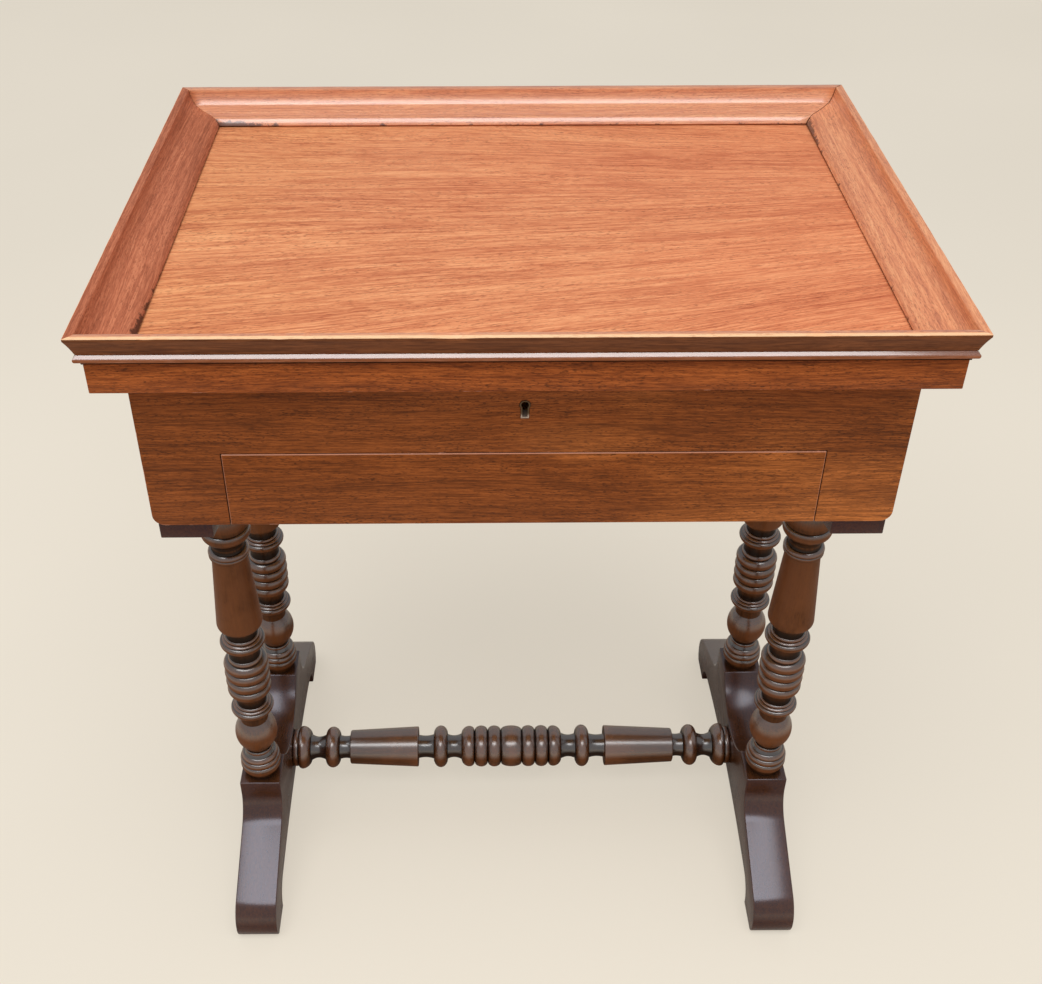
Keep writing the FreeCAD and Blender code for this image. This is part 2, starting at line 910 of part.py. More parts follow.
for side_name in ("front", "back", "left", "right"):
    save("lid_" + side_name + "_rail", make_lid_rail(side_name))
    save("lid_" + side_name + "_moulding", make_lid_moulding(side_name))
    save("mirror_" + side_name + "_strip", make_mirror_strip(side_name))
save("lid_panel", make_lid_panel())
save("mirror_glass", make_mirror())
save("strike_plate", make_strike_plate())

case_leaves = [make_case_hinge_leaf(centre) for centre in hinge_centres]
lid_leaves = [make_lid_hinge_leaf(centre) for centre in hinge_centres]
pins = [make_hinge_pin(centre) for centre in hinge_centres]
save("case_hinge_leaves", Part.makeCompound(case_leaves))
save("lid_hinge_leaves", Part.makeCompound(lid_leaves))
save("hinge_pins", Part.makeCompound(pins))
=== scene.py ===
"""A small dressing table of red-brown wood: a lift-up lid with a sunk panel and a mirror
under it, a shallow case with a plain drawer, and two trestle ends of turned legs joined
by a turned stretcher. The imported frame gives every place; this file gives the looks.
"""
import json
import math

import bmesh
import bpy
from bpy.props import FloatProperty, FloatVectorProperty, IntProperty, PointerProperty
from mathutils import Matrix, Vector, noise

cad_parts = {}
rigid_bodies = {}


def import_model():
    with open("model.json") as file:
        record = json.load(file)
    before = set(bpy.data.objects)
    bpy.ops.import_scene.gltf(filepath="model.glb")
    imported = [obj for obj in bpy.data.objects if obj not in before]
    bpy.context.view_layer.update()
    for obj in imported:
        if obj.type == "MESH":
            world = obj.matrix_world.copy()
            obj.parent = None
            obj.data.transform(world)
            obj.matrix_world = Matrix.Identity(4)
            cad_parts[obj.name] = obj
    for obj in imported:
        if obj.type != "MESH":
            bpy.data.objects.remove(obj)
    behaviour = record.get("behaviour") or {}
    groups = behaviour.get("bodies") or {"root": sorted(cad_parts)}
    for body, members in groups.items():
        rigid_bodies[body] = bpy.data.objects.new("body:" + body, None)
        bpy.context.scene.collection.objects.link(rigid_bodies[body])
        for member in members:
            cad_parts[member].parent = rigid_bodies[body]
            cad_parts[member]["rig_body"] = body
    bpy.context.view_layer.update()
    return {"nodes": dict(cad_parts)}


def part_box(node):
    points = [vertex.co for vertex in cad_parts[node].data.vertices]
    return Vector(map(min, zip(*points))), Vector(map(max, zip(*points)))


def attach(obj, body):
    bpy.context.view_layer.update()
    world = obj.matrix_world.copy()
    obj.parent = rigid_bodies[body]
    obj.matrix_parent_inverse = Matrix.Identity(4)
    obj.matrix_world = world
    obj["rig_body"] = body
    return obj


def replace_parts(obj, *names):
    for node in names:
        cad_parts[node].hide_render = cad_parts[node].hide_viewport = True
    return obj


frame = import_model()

bl_info = {
    "name": "Dressing table",
    "version": (1, 0, 0),
    "blender": (4, 5, 0),
    "location": "3D View > Sidebar > Dressing table",
    "description": "Dresses the packed frame of a small lift-top dressing table",
    "category": "Add Mesh",
}

MM = 0.001
nodes = frame["nodes"]


def srgb(red, green, blue):
    """Return a colour written in 0 to 255 as the linear values that a shader reads."""
    linear = []
    for value in (red, green, blue):
        share = value / 255
        linear.append(share / 12.92 if share <= 0.04045 else ((share + 0.055) / 1.055) ** 2.4)
    return tuple(linear)


def colour(name, description, red, green, blue):
    """Return a colour property."""
    return FloatVectorProperty(
        name=name, description=description, subtype="COLOR", size=3, min=0, max=1,
        default=srgb(red, green, blue))


def length(name, description, millimetres):
    """Return a length property, given in millimetres and kept in metres."""
    return FloatProperty(
        name=name, description=description, subtype="DISTANCE", unit="LENGTH", min=0,
        default=millimetres * MM)


def share(name, description, value):
    """Return a property that runs from none to all."""
    return FloatProperty(
        name=name, description=description, subtype="FACTOR", min=0, max=1, default=value)


# Settings

class LidSettings(bpy.types.PropertyGroup):
    """Finish of the lid's panel, moulding and rails."""

    panel_pale: colour("Panel pale", "Lightest streaks of the sunk panel", 254, 182, 130)
    panel_middle: colour("Panel middle", "Main colour of the sunk panel", 228, 146, 100)
    panel_deep: colour("Panel deep", "Darkest streaks of the sunk panel", 184, 98, 64)
    slope_pale: colour("Slope pale", "Lightest streaks of the moulding's slope", 220, 140, 102)
    slope_middle: colour("Slope middle", "Main colour of the moulding's slope", 186, 108, 76)
    slope_deep: colour("Slope deep", "Darkest streaks of the moulding's slope", 134, 68, 44)
    rim_worn: colour("Worn rim", "Bare wood along the top of the rim", 250, 205, 160)
    face_pale: colour("Rim face pale", "Lightest streaks of the rim's outer face", 150, 88, 50)
    face_deep: colour("Rim face deep", "Darkest streaks of the rim's outer face", 92, 48, 26)
    pore: colour("Pores", "Dark filler in the open pores", 132, 68, 44)
    moulding_steps: IntProperty(
        name="Moulding steps", description="Cross sections along the front moulding",
        min=8, max=600, default=300)
    rail_softening: length("Rail softening", "Rounding of the rails' edges", 0.7)


class CaseSettings(bpy.types.PropertyGroup):
    """Finish of the case, the drawer and the boards inside."""

    pale: colour("Case pale", "Lightest streaks of the case", 180, 98, 44)
    middle: colour("Case middle", "Main colour of the case", 142, 74, 30)
    deep: colour("Case deep", "Darkest streaks of the case", 94, 46, 18)
    rail_pale: colour("Rail pale", "Lightest streaks of the lid's rails", 206, 112, 52)
    rail_middle: colour("Rail middle", "Main colour of the lid's rails", 168, 86, 37)
    rail_deep: colour("Rail deep", "Darkest streaks of the lid's rails", 112, 53, 23)
    worn: colour("Worn edge", "Bare wood where an edge is rubbed", 236, 168, 138)
    bead: colour("Bead", "Polished bead under the rim", 158, 92, 56)
    inside_pale: colour("Inside pale", "Lightest streaks of the boards inside", 214, 170, 118)
    inside_deep: colour("Inside deep", "Darkest streaks of the boards inside", 160, 112, 68)
    edge_softening: length("Edge softening", "Rounding of the case's edges", 0.8)
    inside_softening: length("Inside softening", "Rounding of the boards inside", 0.5)


class TrestleSettings(bpy.types.PropertyGroup):
    """Finish and turning of the trestle ends."""

    pale: colour("Stain pale", "Palest streaks of the stained wood", 126, 74, 36)
    middle: colour("Stain middle", "Main colour of the stained wood", 98, 56, 26)
    deep: colour("Stain deep", "Stained wood in the hollows", 42, 24, 13)
    rubbed: colour("Rubbed crest", "Stain worn thin on crests and edges", 130, 78, 46)
    bloom: colour("Bloom", "Tint of the old polish where the light glances", 150, 176, 255)
    turning_steps: IntProperty(
        name="Turning steps", description="Steps round each turned piece",
        min=12, max=128, default=64)
    foot_softening: length("Foot softening", "Rounding of the feet's edges", 1.6)
    bearer_softening: length("Bearer softening", "Rounding of the bearers' edges", 1.0)


class FittingSettings(bpy.types.PropertyGroup):
    """Finish of the metal fittings and the mirror."""

    brass: colour("Brass", "Bright parts of the brass", 186, 146, 82)
    tarnish: colour("Tarnish", "Dull parts of the brass", 96, 72, 44)
    lining: colour("Lining", "Worn lining of the keyhole", 196, 176, 160)
    # Painted light: the lining shows this bright colour only low in the keyhole, painted as
    # lit
    steel: colour("Steel", "The lock's bolt and the screws", 128, 124, 118)
    screw_radius: length("Screw radius", "Radius of the screws' heads", 3.0)


class StageSettings(bpy.types.PropertyGroup):
    """Floor, lights and camera."""

    floor: colour("Floor", "Colour of the plain floor", 236, 227, 211)
    sky: FloatProperty(
        name="Sky strength", description="Strength of the even light", min=0, default=0.42)
    key: FloatProperty(
        name="Key power", description="Power of the large lamp overhead",
        unit="POWER", min=0, default=56)
    glow: share("Floor glow", "Share of its colour that the floor adds to the view", 0.65)
    shadow: share("Floor shadow", "Depth of the shadows that the view shows", 0.45)
    lens: FloatProperty(
        name="Lens", description="Focal length for a 36 mm wide sensor, in millimetres",
        min=1, default=45.241)


class TableSettings(bpy.types.PropertyGroup):
    """Everything that a user would change."""

    lid: PointerProperty(type=LidSettings)
    case: PointerProperty(type=CaseSettings)
    trestle: PointerProperty(type=TrestleSettings)
    fittings: PointerProperty(type=FittingSettings)
    stage: PointerProperty(type=StageSettings)


# Node helpers

def as_colour(values):
    """Return three values as a colour with full cover."""
    return tuple(values)[:3] + (1.0,)


def feed(node, inputs):
    """Set a node's inputs, each to a value, a colour or another node's socket."""
    for key, value in inputs.items():
        socket = node.inputs[key]
        if isinstance(value, bpy.types.NodeSocket):
            node.id_data.links.new(value, socket)
        else:
            socket.default_value = as_colour(value) if socket.type == "RGBA" else value


def add(tree, kind, inputs=None, **settings):
    """Return a new node with its settings and its inputs."""
    made = tree.nodes.new(kind)
    for name, value in settings.items():
        setattr(made, name, value)
    feed(made, inputs or {})
    return made


def math_node(tree, operation, first, second, clamp=False):
    """Return what an operation makes of two values."""
    return add(tree, "ShaderNodeMath", {0: first, 1: second}, operation=operation,
               use_clamp=clamp).outputs[0]


def plus(tree, first, second, clamp=False):
    """Return the sum of two values."""
    return math_node(tree, "ADD", first, second, clamp)


def less(tree, first, second, clamp=False):
    """Return what is left of a value when another is taken away."""
    return math_node(tree, "SUBTRACT", first, second, clamp)


def times(tree, first, second, clamp=False):
    """Return the product of two values."""
    return math_node(tree, "MULTIPLY", first, second, clamp)


def vector_node(tree, operation, first, second):
    """Return what an operation makes of two vectors."""
    return add(tree, "ShaderNodeVectorMath", {0: first, 1: second},
               operation=operation).outputs[0]


def parts_of(tree, vector):
    """Return a vector's three parts."""
    return add(tree, "ShaderNodeSeparateXYZ", {"Vector": vector}).outputs


def attribute(tree, name):
    """Return a value kept on the mesh."""
    return add(tree, "ShaderNodeAttribute", attribute_name=name).outputs["Fac"]


def object_coordinates(tree):
    """Return each point's place in the table's own frame."""
    return add(tree, "ShaderNodeTexCoord").outputs["Object"]


def object_place(tree, along="X", shift=(0, 0, 0)):
    """Return Object coordinates turned so that the grain runs along the first axis."""
    turn = {"X": (0, 0, 0), "Y": (0, 0, -math.pi / 2), "Z": (0, math.pi / 2, 0)}[along]
    return add(tree, "ShaderNodeMapping", {
        "Vector": object_coordinates(tree), "Location": shift, "Rotation": turn}).outputs[0]


def remap(tree, value, low, high, new_low=0.0, new_high=1.0, smooth=True):
    """Return a value stretched from one range to another and held inside it."""
    return add(
        tree, "ShaderNodeMapRange",
        {"Value": value, "From Min": low, "From Max": high, "To Min": new_low,
         "To Max": new_high},
        interpolation_type="SMOOTHSTEP" if smooth else "LINEAR").outputs["Result"]


def mix_colour(tree, factor, first, second, blend="MIX"):
    """Return one colour laid over another."""
    return add(tree, "ShaderNodeMix", {0: factor, 6: first, 7: second}, data_type="RGBA",
               blend_type=blend, clamp_factor=True).outputs[2]


def noise_field(tree, place, run, across, detail=2.0, rough=0.5):
    """Return noise whose features are run long and across wide, in metres."""
    scaled = vector_node(tree, "MULTIPLY", place, (1 / run, 1 / across, 1 / across))
    return add(tree, "ShaderNodeTexNoise", {
        "Vector": scaled, "Scale": 1.0, "Detail": detail, "Roughness": rough}).outputs["Fac"]


def swing(tree, field, width):
    """Return noise centred on nothing and stretched to a width."""
    return times(tree, less(tree, field, 0.5), width)


def new_material(name):
    """Return a new material with its tree and its Principled shader."""
    material = bpy.data.materials.new(name)
    material.use_nodes = True
    tree = material.node_tree
    return material, tree, tree.nodes["Principled BSDF"]


# Effects that more than one finish uses

VALUE = "NodeSocketFloat"
COLOUR = "NodeSocketColor"
PLACE = "NodeSocketVector"
# Near-black colour laid into closed-in places, and how far it looks for cover: dirt together
# with painted shade
dirt_and_shade_colour = (0.02, 0.012, 0.008)
dirt_and_shade_reach = 12 * MM
groups = {}


def new_group(name, inputs, outputs):
    """Return an empty shader node group with its given values and its output node."""
    group = bpy.data.node_groups.new(name, "ShaderNodeTree")
    for sockets, in_out in ((inputs, "INPUT"), (outputs, "OUTPUT")):
        for label, kind in sockets.items():
            group.interface.new_socket(label, in_out=in_out, socket_type=kind)
    start = group.nodes.new("NodeGroupInput")
    return group, start.outputs, group.nodes.new("NodeGroupOutput")


def placed(tree, build, inputs):
    """Return the outputs of a shared group, which is built when it is first asked for."""
    if build not in groups:
        groups[build] = build()
    return add(tree, "ShaderNodeGroup", inputs, node_tree=groups[build]).outputs


def board_grain():
    """Build the group that draws board grain running along the first axis of its place."""
    tree, given, result = new_group(
        "board grain",
        {"Place": PLACE, "Pale": COLOUR, "Middle": COLOUR, "Deep": COLOUR, "Pore": COLOUR,
         "Pore share": VALUE, "Contrast": VALUE, "Band width": VALUE, "Fineness": VALUE,
         "Vein share": VALUE},
        {"Colour": COLOUR, "Height": VALUE})
    place = add(tree, "ShaderNodeVectorMath", {0: given["Place"], "Scale": given["Fineness"]},
                operation="SCALE").outputs[0]
    drift = swing(tree, noise_field(tree, place, 0.45, 0.09, 1.0), 0.03)
    shift = add(tree, "ShaderNodeCombineXYZ", {"Y": drift, "Z": drift}).outputs[0]
    place = vector_node(tree, "ADD", place, shift)

    across = math_node(tree, "DIVIDE", 1.0, given["Band width"])
    scale = add(tree, "ShaderNodeCombineXYZ", {"X": 1.6, "Y": across, "Z": across}).outputs[0]
    bands = add(tree, "ShaderNodeTexNoise",
                {"Vector": vector_node(tree, "MULTIPLY", place, scale), "Scale": 1.0,
                 "Detail": 2.0, "Roughness": 0.55}).outputs["Fac"]
    streaks = noise_field(tree, place, 0.20, 0.0070, 3.0, 0.6)
    lines = noise_field(tree, place, 0.085, 0.0025, 2.0, 0.6)
    fibres = noise_field(tree, place, 0.017, 0.0013, 2.0, 0.65)
    tone = -0.5
    for layer, low, high, weight in ((bands, 0.32, 0.68, 0.20), (streaks, 0.36, 0.64, 0.14),
                                     (lines, 0.36, 0.64, 0.32), (fibres, 0.34, 0.66, 0.34)):
        tone = plus(tree, times(tree, remap(tree, layer, low, high), weight), tone)
    tone = plus(tree, times(tree, tone, given["Contrast"]), 0.5, clamp=True)
    colour_at = mix_colour(tree, remap(tree, tone, 0.0, 0.5, smooth=False), given["Deep"],
                           given["Middle"])
    colour_at = mix_colour(tree, remap(tree, tone, 0.5, 1.0, smooth=False), colour_at,
                           given["Pale"])

    veins = remap(tree, noise_field(tree, place, 0.26, 0.0055, 3.0), 0.60, 0.70)
    veins = times(tree, veins, given["Vein share"], clamp=True)
    colour_at = mix_colour(tree, veins, colour_at, given["Deep"])

    dashes = remap(tree, noise_field(tree, place, 0.0055, 0.0011, 1.0), 0.56, 0.66)
    crowd = remap(tree, noise_field(tree, place, 0.12, 0.012), 0.34, 0.60, 0.35, 1.0)
    pits = times(tree, times(tree, dashes, crowd), given["Pore share"], clamp=True)
    feed(result, {"Colour": mix_colour(tree, pits, colour_at, given["Pore"]),
                  "Height": less(tree, times(tree, fibres, 0.35), pits)})
    return tree


def rubbed_edge():
    """Build the group that says where softened edges are rubbed bare."""
    tree, given, result = new_group(
        "rubbed edge", {"Place": PLACE, "Edge": VALUE, "Amount": VALUE}, {"Mask": VALUE})
    patchy = noise_field(tree, given["Place"], 0.018, 0.018, 3.0, 0.65)
    limit = less(tree, 0.78, times(tree, given["Amount"], 0.5))
    patches = remap(tree, less(tree, patchy, limit), 0.0, 0.08)
    whole = less(tree, given["Edge"], 1.0, clamp=True)
    mask = times(tree, patches, given["Edge"], clamp=True)
    feed(result, {"Mask": math_node(tree, "MAXIMUM", mask, whole)})
    return tree


def recess_dirt_and_shade():
    """Build the group that darkens recesses with dirt and painted shade, and spreads faint
    handling marks.
    """
    tree, given, result = new_group(
        "recess_dirt_and_shade", {"Place": PLACE, "Colour": COLOUR, "Amount": VALUE},
        {"Colour": COLOUR, "Dull": VALUE})
    # Painted shade and dirt: the colour darkens patchily where nearby surfaces close a point
    # in
    open_sky = add(tree, "ShaderNodeAmbientOcclusion", {"Distance": dirt_and_shade_reach}, samples=6)
    closed = remap(tree, open_sky.outputs["AO"], 0.75, 0.25)
    blotch = remap(tree, noise_field(tree, given["Place"], 0.05, 0.05, 3.0), 0.35, 0.7, 0.6)
    dirt_and_shade = times(tree, times(tree, closed, blotch), given["Amount"], clamp=True)
    marks = noise_field(tree, given["Place"], 0.11, 0.11, 4.0, 0.6)
    feed(result, {"Colour": mix_colour(tree, dirt_and_shade, given["Colour"], dirt_and_shade_colour),
                  "Dull": remap(tree, marks, 0.35, 0.7)})
    return tree


# Finishes

# The panel's grain fans out from a point on its far right
fan_x, fan_y = 1.05, 0.06
foot_dirt = srgb(72, 38, 24)
polish_on_sides = 0.04
finishes = {}


def mid(first, second):
    """Return the colour halfway between two."""
    return tuple((a + b) / 2 for a, b in zip(first, second))


def polish(tree, shader, weight, roughness, index):
    """Lay a clear polish on a surface, thick where it faces up and rubbed dull elsewhere."""
    facing = parts_of(tree, add(tree, "ShaderNodeNewGeometry").outputs["Normal"])["Z"]
    thickness = remap(tree, facing, 0.05, 0.5, weight * polish_on_sides, weight)
    feed(shader, {"Coat Weight": thickness, "Coat Roughness": roughness, "Coat IOR": index})


def wood(name, pale, middle, deep, pore, along, shift=(0, 0, 0), pore_share=0.6,
         contrast=1.0, band=0.05, rough=(0.42, 0.58), edge=None, edge_amount=0.6,
         dirt_and_shade=0.4, bump=0.25, shine=0.15, place=None, warmth=None, bloom=None,
         polished=None, fineness=1.0, veins=0.3, turned=None):
    """Return a wood's finish: grain, pores, rubbed edges, and dirt with painted shade in the
    corners.

    turned gives the settings of turned work, whose crests are rubbed and hollows dark.
    """
    material, tree, shader = new_material(name)
    source = object_coordinates(tree)
    place = place(tree) if place else object_place(tree, along, shift)
    grain = placed(tree, board_grain, {
        "Place": place, "Pale": pale, "Middle": middle, "Deep": deep, "Pore": pore,
        "Pore share": pore_share, "Contrast": contrast, "Band width": band,
        "Fineness": fineness, "Vein share": veins})
    body = grain["Colour"]
    if warmth:
        body = warmth(tree, body)
    if turned:
        source = place
        body = stained_crests(tree, place, body, turned)
    if edge is not None:
        wear = placed(tree, rubbed_edge, {
            "Place": source, "Edge": attribute(tree, "arris"), "Amount": edge_amount})
        body = mix_colour(tree, wear["Mask"], body, edge)
    # Dirt and painted shade darken the corners and recesses
    dirtied_and_shaded = placed(tree, recess_dirt_and_shade, {"Place": source, "Colour": body, "Amount": dirt_and_shade})
    relief = add(tree, "ShaderNodeBump",
                 {"Height": grain["Height"], "Strength": bump, "Distance": 0.4 * MM})
    feed(shader, {"Base Color": dirtied_and_shaded["Colour"],
                  "Roughness": remap(tree, dirtied_and_shaded["Dull"], 0.0, 1.0, *rough, smooth=False),
                  "Normal": relief.outputs["Normal"], "Specular IOR Level": shine})
    if bloom:
        feed(shader, {"Specular Tint": bloom})
    if polished:
        polish(tree, shader, *polished)
    return material


def stained_crests(tree, place, body, stain):
    """Return turned work's colour, rubbed on the crests and dark in the hollows."""
    level = plus(tree, attribute(tree, "crest"),
                 swing(tree, noise_field(tree, place, 0.03, 0.02, 3.0), 0.5))
    hollow = times(tree, remap(tree, level, 0.80, 0.15), 0.95)
    body = mix_colour(tree, hollow, body, tuple(value * 0.5 for value in stain.deep))
    rub = times(tree, remap(tree, level, 0.82, 1.05), 0.7)
    return mix_colour(tree, rub, body, stain.rubbed)


def metal(name, bright, dull, metallic=1.0, lit_to=None):
    """Return a handled metal: bright where rubbed, dull elsewhere, with fine scratches.

    lit_to gives a height under which it is painted bright, as lit, and over which it is dull.
    """
    material, tree, shader = new_material(name)
    place = object_place(tree)
    patch = remap(tree, noise_field(tree, place, 0.014, 0.014, 4.0, 0.6), 0.3, 0.7)
    # Rubbed patches and edges are bright; with lit_to, painted light makes the metal bright
    # below that height as if lit
    if lit_to is None:
        rubbed_and_lit = math_node(tree, "MAXIMUM", patch, attribute(tree, "arris"))
    else:
        rubbed_and_lit = remap(tree, parts_of(tree, place)["Z"], lit_to + 3 * MM, lit_to)
    relief = add(tree, "ShaderNodeBump",
                 {"Height": noise_field(tree, place, 0.012, 0.0005), "Strength": 0.12,
                  "Distance": 0.2 * MM})
    feed(shader, {"Base Color": mix_colour(tree, rubbed_and_lit, dull, bright),
                  "Roughness": remap(tree, patch, 0.0, 1.0, 0.55, 0.28, smooth=False),
                  "Metallic": metallic, "Normal": relief.outputs["Normal"]})
    return material


def silvered_glass(name):
    """Return old mirror glass: silver with patches of dark foxing."""
    material, tree, shader = new_material(name)
    place = object_place(tree)
    specks = remap(tree, noise_field(tree, place, 0.012, 0.012, 5.0, 0.7), 0.66, 0.74)
    cloud = remap(tree, noise_field(tree, place, 0.12, 0.12), 0.45, 0.65)
    fox = times(tree, specks, cloud, clamp=True)
    feed(shader, {
        "Base Color": mix_colour(tree, fox, (0.82, 0.84, 0.83), (0.10, 0.08, 0.06)),
        "Roughness": remap(tree, fox, 0.0, 1.0, 0.03, 0.5, smooth=False), "Metallic": 1.0})
    return material


def fanned_place(tree):
    """Return the panel's place with its grain fanning out from a point."""
    source = object_coordinates(tree)
    parts = parts_of(tree, source)
    sway = swing(tree, noise_field(tree, source, 0.5, 0.16, 1.0), 0.05)
    rise = plus(tree, less(tree, parts["Y"], fan_y), sway)
    fan = times(tree, math_node(tree, "DIVIDE", rise, less(tree, fan_x, parts["X"])), fan_x)
    return add(tree, "ShaderNodeCombineXYZ",
               {"X": parts["X"], "Y": fan, "Z": parts["Z"]}).outputs[0]


def panel_warmth(tree, body):
    """Return the panel's colour, yellower at the left and redder at the right."""
    source = object_coordinates(tree)
    side = plus(tree, times(tree, parts_of(tree, source)["X"], 1.6),
                noise_field(tree, source, 0.3, 0.12))
    red = times(tree, remap(tree, side, 0.35, 0.95), 0.5)
    yellow = times(tree, remap(tree, side, 0.45, 0.0), 0.5)
    body = mix_colour(tree, red, body, (1.0, 0.80, 0.78), "MULTIPLY")
    return mix_colour(tree, yellow, body, (1.0, 1.06, 0.92), "MULTIPLY")


def soiled_foot(tree, body):
    """Return the moulding's colour with old dirt along its foot."""
    patches = noise_field(tree, object_coordinates(tree), 0.005, 0.005, 3.0, 0.7)
    level = plus(tree, attribute(tree, "soil"), swing(tree, patches, 1.5))
    return mix_colour(tree, times(tree, remap(tree, level, 0.45, 0.75), 0.85), body, foot_dirt)


def case_fade(tree, body):
    """Return the case's colour, paler towards its right end."""
    source = object_coordinates(tree)
    sway = plus(tree, parts_of(tree, source)["X"], noise_field(tree, source, 0.2, 0.08))
    return mix_colour(tree, remap(tree, sway, 0.58, 0.86, smooth=False), body,
                      (2.3, 2.8, 3.3), "MULTIPLY")


def woods(lid, case, trestle, along):
    """Return each wood's pale, middle, deep and pore colours and its other values."""
    dark = mid(case.deep, trestle.deep)
    slope = dict(band=0.03, dirt_and_shade=0.35, fineness=1.35, veins=0.15, warmth=soiled_foot)
    rim = dict(pore_share=0.35, band=0.01, rough=(0.5, 0.62), dirt_and_shade=0.1)
    return {
        "panel": (
            (lid.panel_pale, lid.panel_middle, lid.panel_deep, lid.pore),
            dict(pore_share=0.5, rough=(0.40, 0.52), dirt_and_shade=0.55, place=fanned_place,
                 warmth=panel_warmth, fineness=1.25, veins=0.4)),
        "slope": (
            (lid.slope_pale, lid.slope_middle, lid.slope_deep, lid.pore),
            dict(slope, pore_share=0.5, contrast=0.85, rough=(0.45, 0.6))),
        # Paler copy of the slope for the front, back and right while the left keeps the darker
        # one: partly the wood's own tone and partly painted light between the sides
        "bright slope": (
            (lid.panel_pale, lid.panel_middle, lid.slope_middle, lid.pore),
            dict(slope, pore_share=0.4, contrast=0.9, rough=(0.30, 0.40),
                 polished=(1.0 if along == "X" else 0.4, 0.26, 2.1))),
        "rim": ((lid.rim_worn, lid.rim_worn, lid.panel_pale, lid.slope_middle), rim),
        "side rim": ((lid.rim_worn, lid.panel_pale, lid.panel_middle, lid.slope_middle), rim),
        "rim face": (
            (lid.face_pale, mid(lid.face_pale, lid.face_deep), lid.face_deep, case.deep),
            dict(pore_share=0.4, contrast=1.1, band=0.012, rough=(0.42, 0.55), dirt_and_shade=0.5)),
        # A near-black finish that stands for shade: painted shade in the recess under the bead
        # and in the screws' slots
        "groove": (
            (case.deep, dark, trestle.deep, trestle.deep),
            dict(pore_share=0.2, rough=(0.6, 0.7), dirt_and_shade=0.8, shine=0.05)),
        "bead": (
            (mid(case.worn, case.bead), case.bead, case.middle, case.deep),
            dict(pore_share=0.2, contrast=0.7, band=0.01, rough=(0.16, 0.22), dirt_and_shade=0.5,
                 bump=0.05, shine=0.1, polished=(1.0, 0.1, 2.3))),
        "case": (
            (case.pale, case.middle, case.deep, dark),
            dict(pore_share=0.7, contrast=1.1, band=0.035, rough=(0.45, 0.6),
                 edge=case.worn, edge_amount=0.4, dirt_and_shade=1.0, warmth=case_fade,
                 fineness=1.6, veins=0.1)),
        "rail": (
            (case.rail_pale, case.rail_middle, case.rail_deep, dark),
            dict(shift=(0.3, 0.2, 0.1), pore_share=0.65, contrast=1.15, band=0.02,
                 rough=(0.4, 0.55), edge=case.worn, edge_amount=0.35, dirt_and_shade=0.6,
                 fineness=1.6, veins=0.1)),
        "inside": (
            (case.inside_pale, mid(case.inside_pale, case.inside_deep), case.inside_deep,
             case.middle),
            dict(pore_share=0.3, contrast=0.9, band=0.06, rough=(0.55, 0.7),
                 edge=case.inside_pale, edge_amount=0.4, dirt_and_shade=0.5)),
        "trestle": (
            (trestle.middle, mid(trestle.middle, trestle.deep), trestle.deep, trestle.deep),
            dict(pore_share=0.3, contrast=0.6, band=0.04, rough=(0.22, 0.3),
                 edge=trestle.rubbed, edge_amount=0.15, dirt_and_shade=0.6, bump=0.12, shine=0.3,
                 bloom=trestle.bloom, polished=(0.85, 0.22, 1.74), veins=0.0)),
        "turning": (
            (trestle.pale, trestle.middle, trestle.deep, trestle.deep),
            dict(pore_share=0.5, contrast=0.5, band=0.02, rough=(0.40, 0.52), dirt_and_shade=0.5,
                 bump=0.2, shine=0.04, veins=0.0, turned=trestle,
                 polished=(1.0, 0.26, 2.6 if along == "X" else 2.5))),
    }


def make_finish(name):
    """Return a new finish; a wood's name may end in the axis that its grain follows."""
    settings = bpy.context.scene.dressing_table
    fittings = settings.fittings
    kind, _, along = name.partition(" along ")
    along = along or "X"
    grained = woods(settings.lid, settings.case, settings.trestle, along)
    if kind in grained:
        colours, values = grained[kind]
        return wood(name, *colours, along, **values)
    if kind == "brass":
        return metal(name, fittings.brass, mid(fittings.brass, fittings.tarnish))
    if kind == "steel":
        return metal(name, fittings.steel, mid(fittings.steel, settings.trestle.deep))
    # The keyhole's lining is painted lit low in the hole and dull above
    if kind == "lining":
        return metal(name, fittings.lining, fittings.tarnish, metallic=0.4,
                     lit_to=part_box("keyhole_escutcheon")[0].z + 1.5 * MM)
    if kind == "mirror":
        return silvered_glass(name)
    raise ValueError("there is no finish named " + name)


def finish(name):
    """Return one of the table's finishes, made when it is first asked for."""
    if name not in finishes:
        finishes[name] = make_finish(name)
    return finishes[name]


# Mesh helpers

# The four sides of the lid and the axis that each one's grain follows
sides = (("front", "X"), ("back", "X"), ("left", "Y"), ("right", "Y"))


def body_of(node):
    """Return the name of the body that a CAD node rides on."""
    return nodes[node]["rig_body"]


def mesh_from(bm, name):
    """Return a bmesh as a mesh and let the bmesh go."""
    mesh = bpy.data.meshes.new(name)
    bm.to_mesh(mesh)
    bm.free()
    return mesh


def shown(name, data):
    """Return a new object of the scene that shows a mesh, a lamp or a camera."""
    made = bpy.data.objects.new(name, data)
    bpy.context.scene.collection.objects.link(made)
    return made


def piece_from(bm, name, body, materials, sharp=35):
    """Return a finished piece made from a bmesh, riding on a body."""
    mesh = mesh_from(bm, name)
    piece = shown(name, mesh)
    for material in materials:
        mesh.materials.append(material)
    mesh.shade_smooth()
    mesh.set_sharp_from_angle(angle=math.radians(sharp))
    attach(piece, body)
    return piece


def merged_copy(node):
    """Return a CAD node's mesh as a bmesh with whole faces instead of triangles."""
    bm = bmesh.new()
    bm.from_mesh(nodes[node].data)
    bmesh.ops.remove_doubles(bm, verts=bm.verts, dist=0.02 * MM)
    bmesh.ops.dissolve_limit(bm, angle_limit=math.radians(0.5), verts=bm.verts,
                             edges=bm.edges)
    return bm


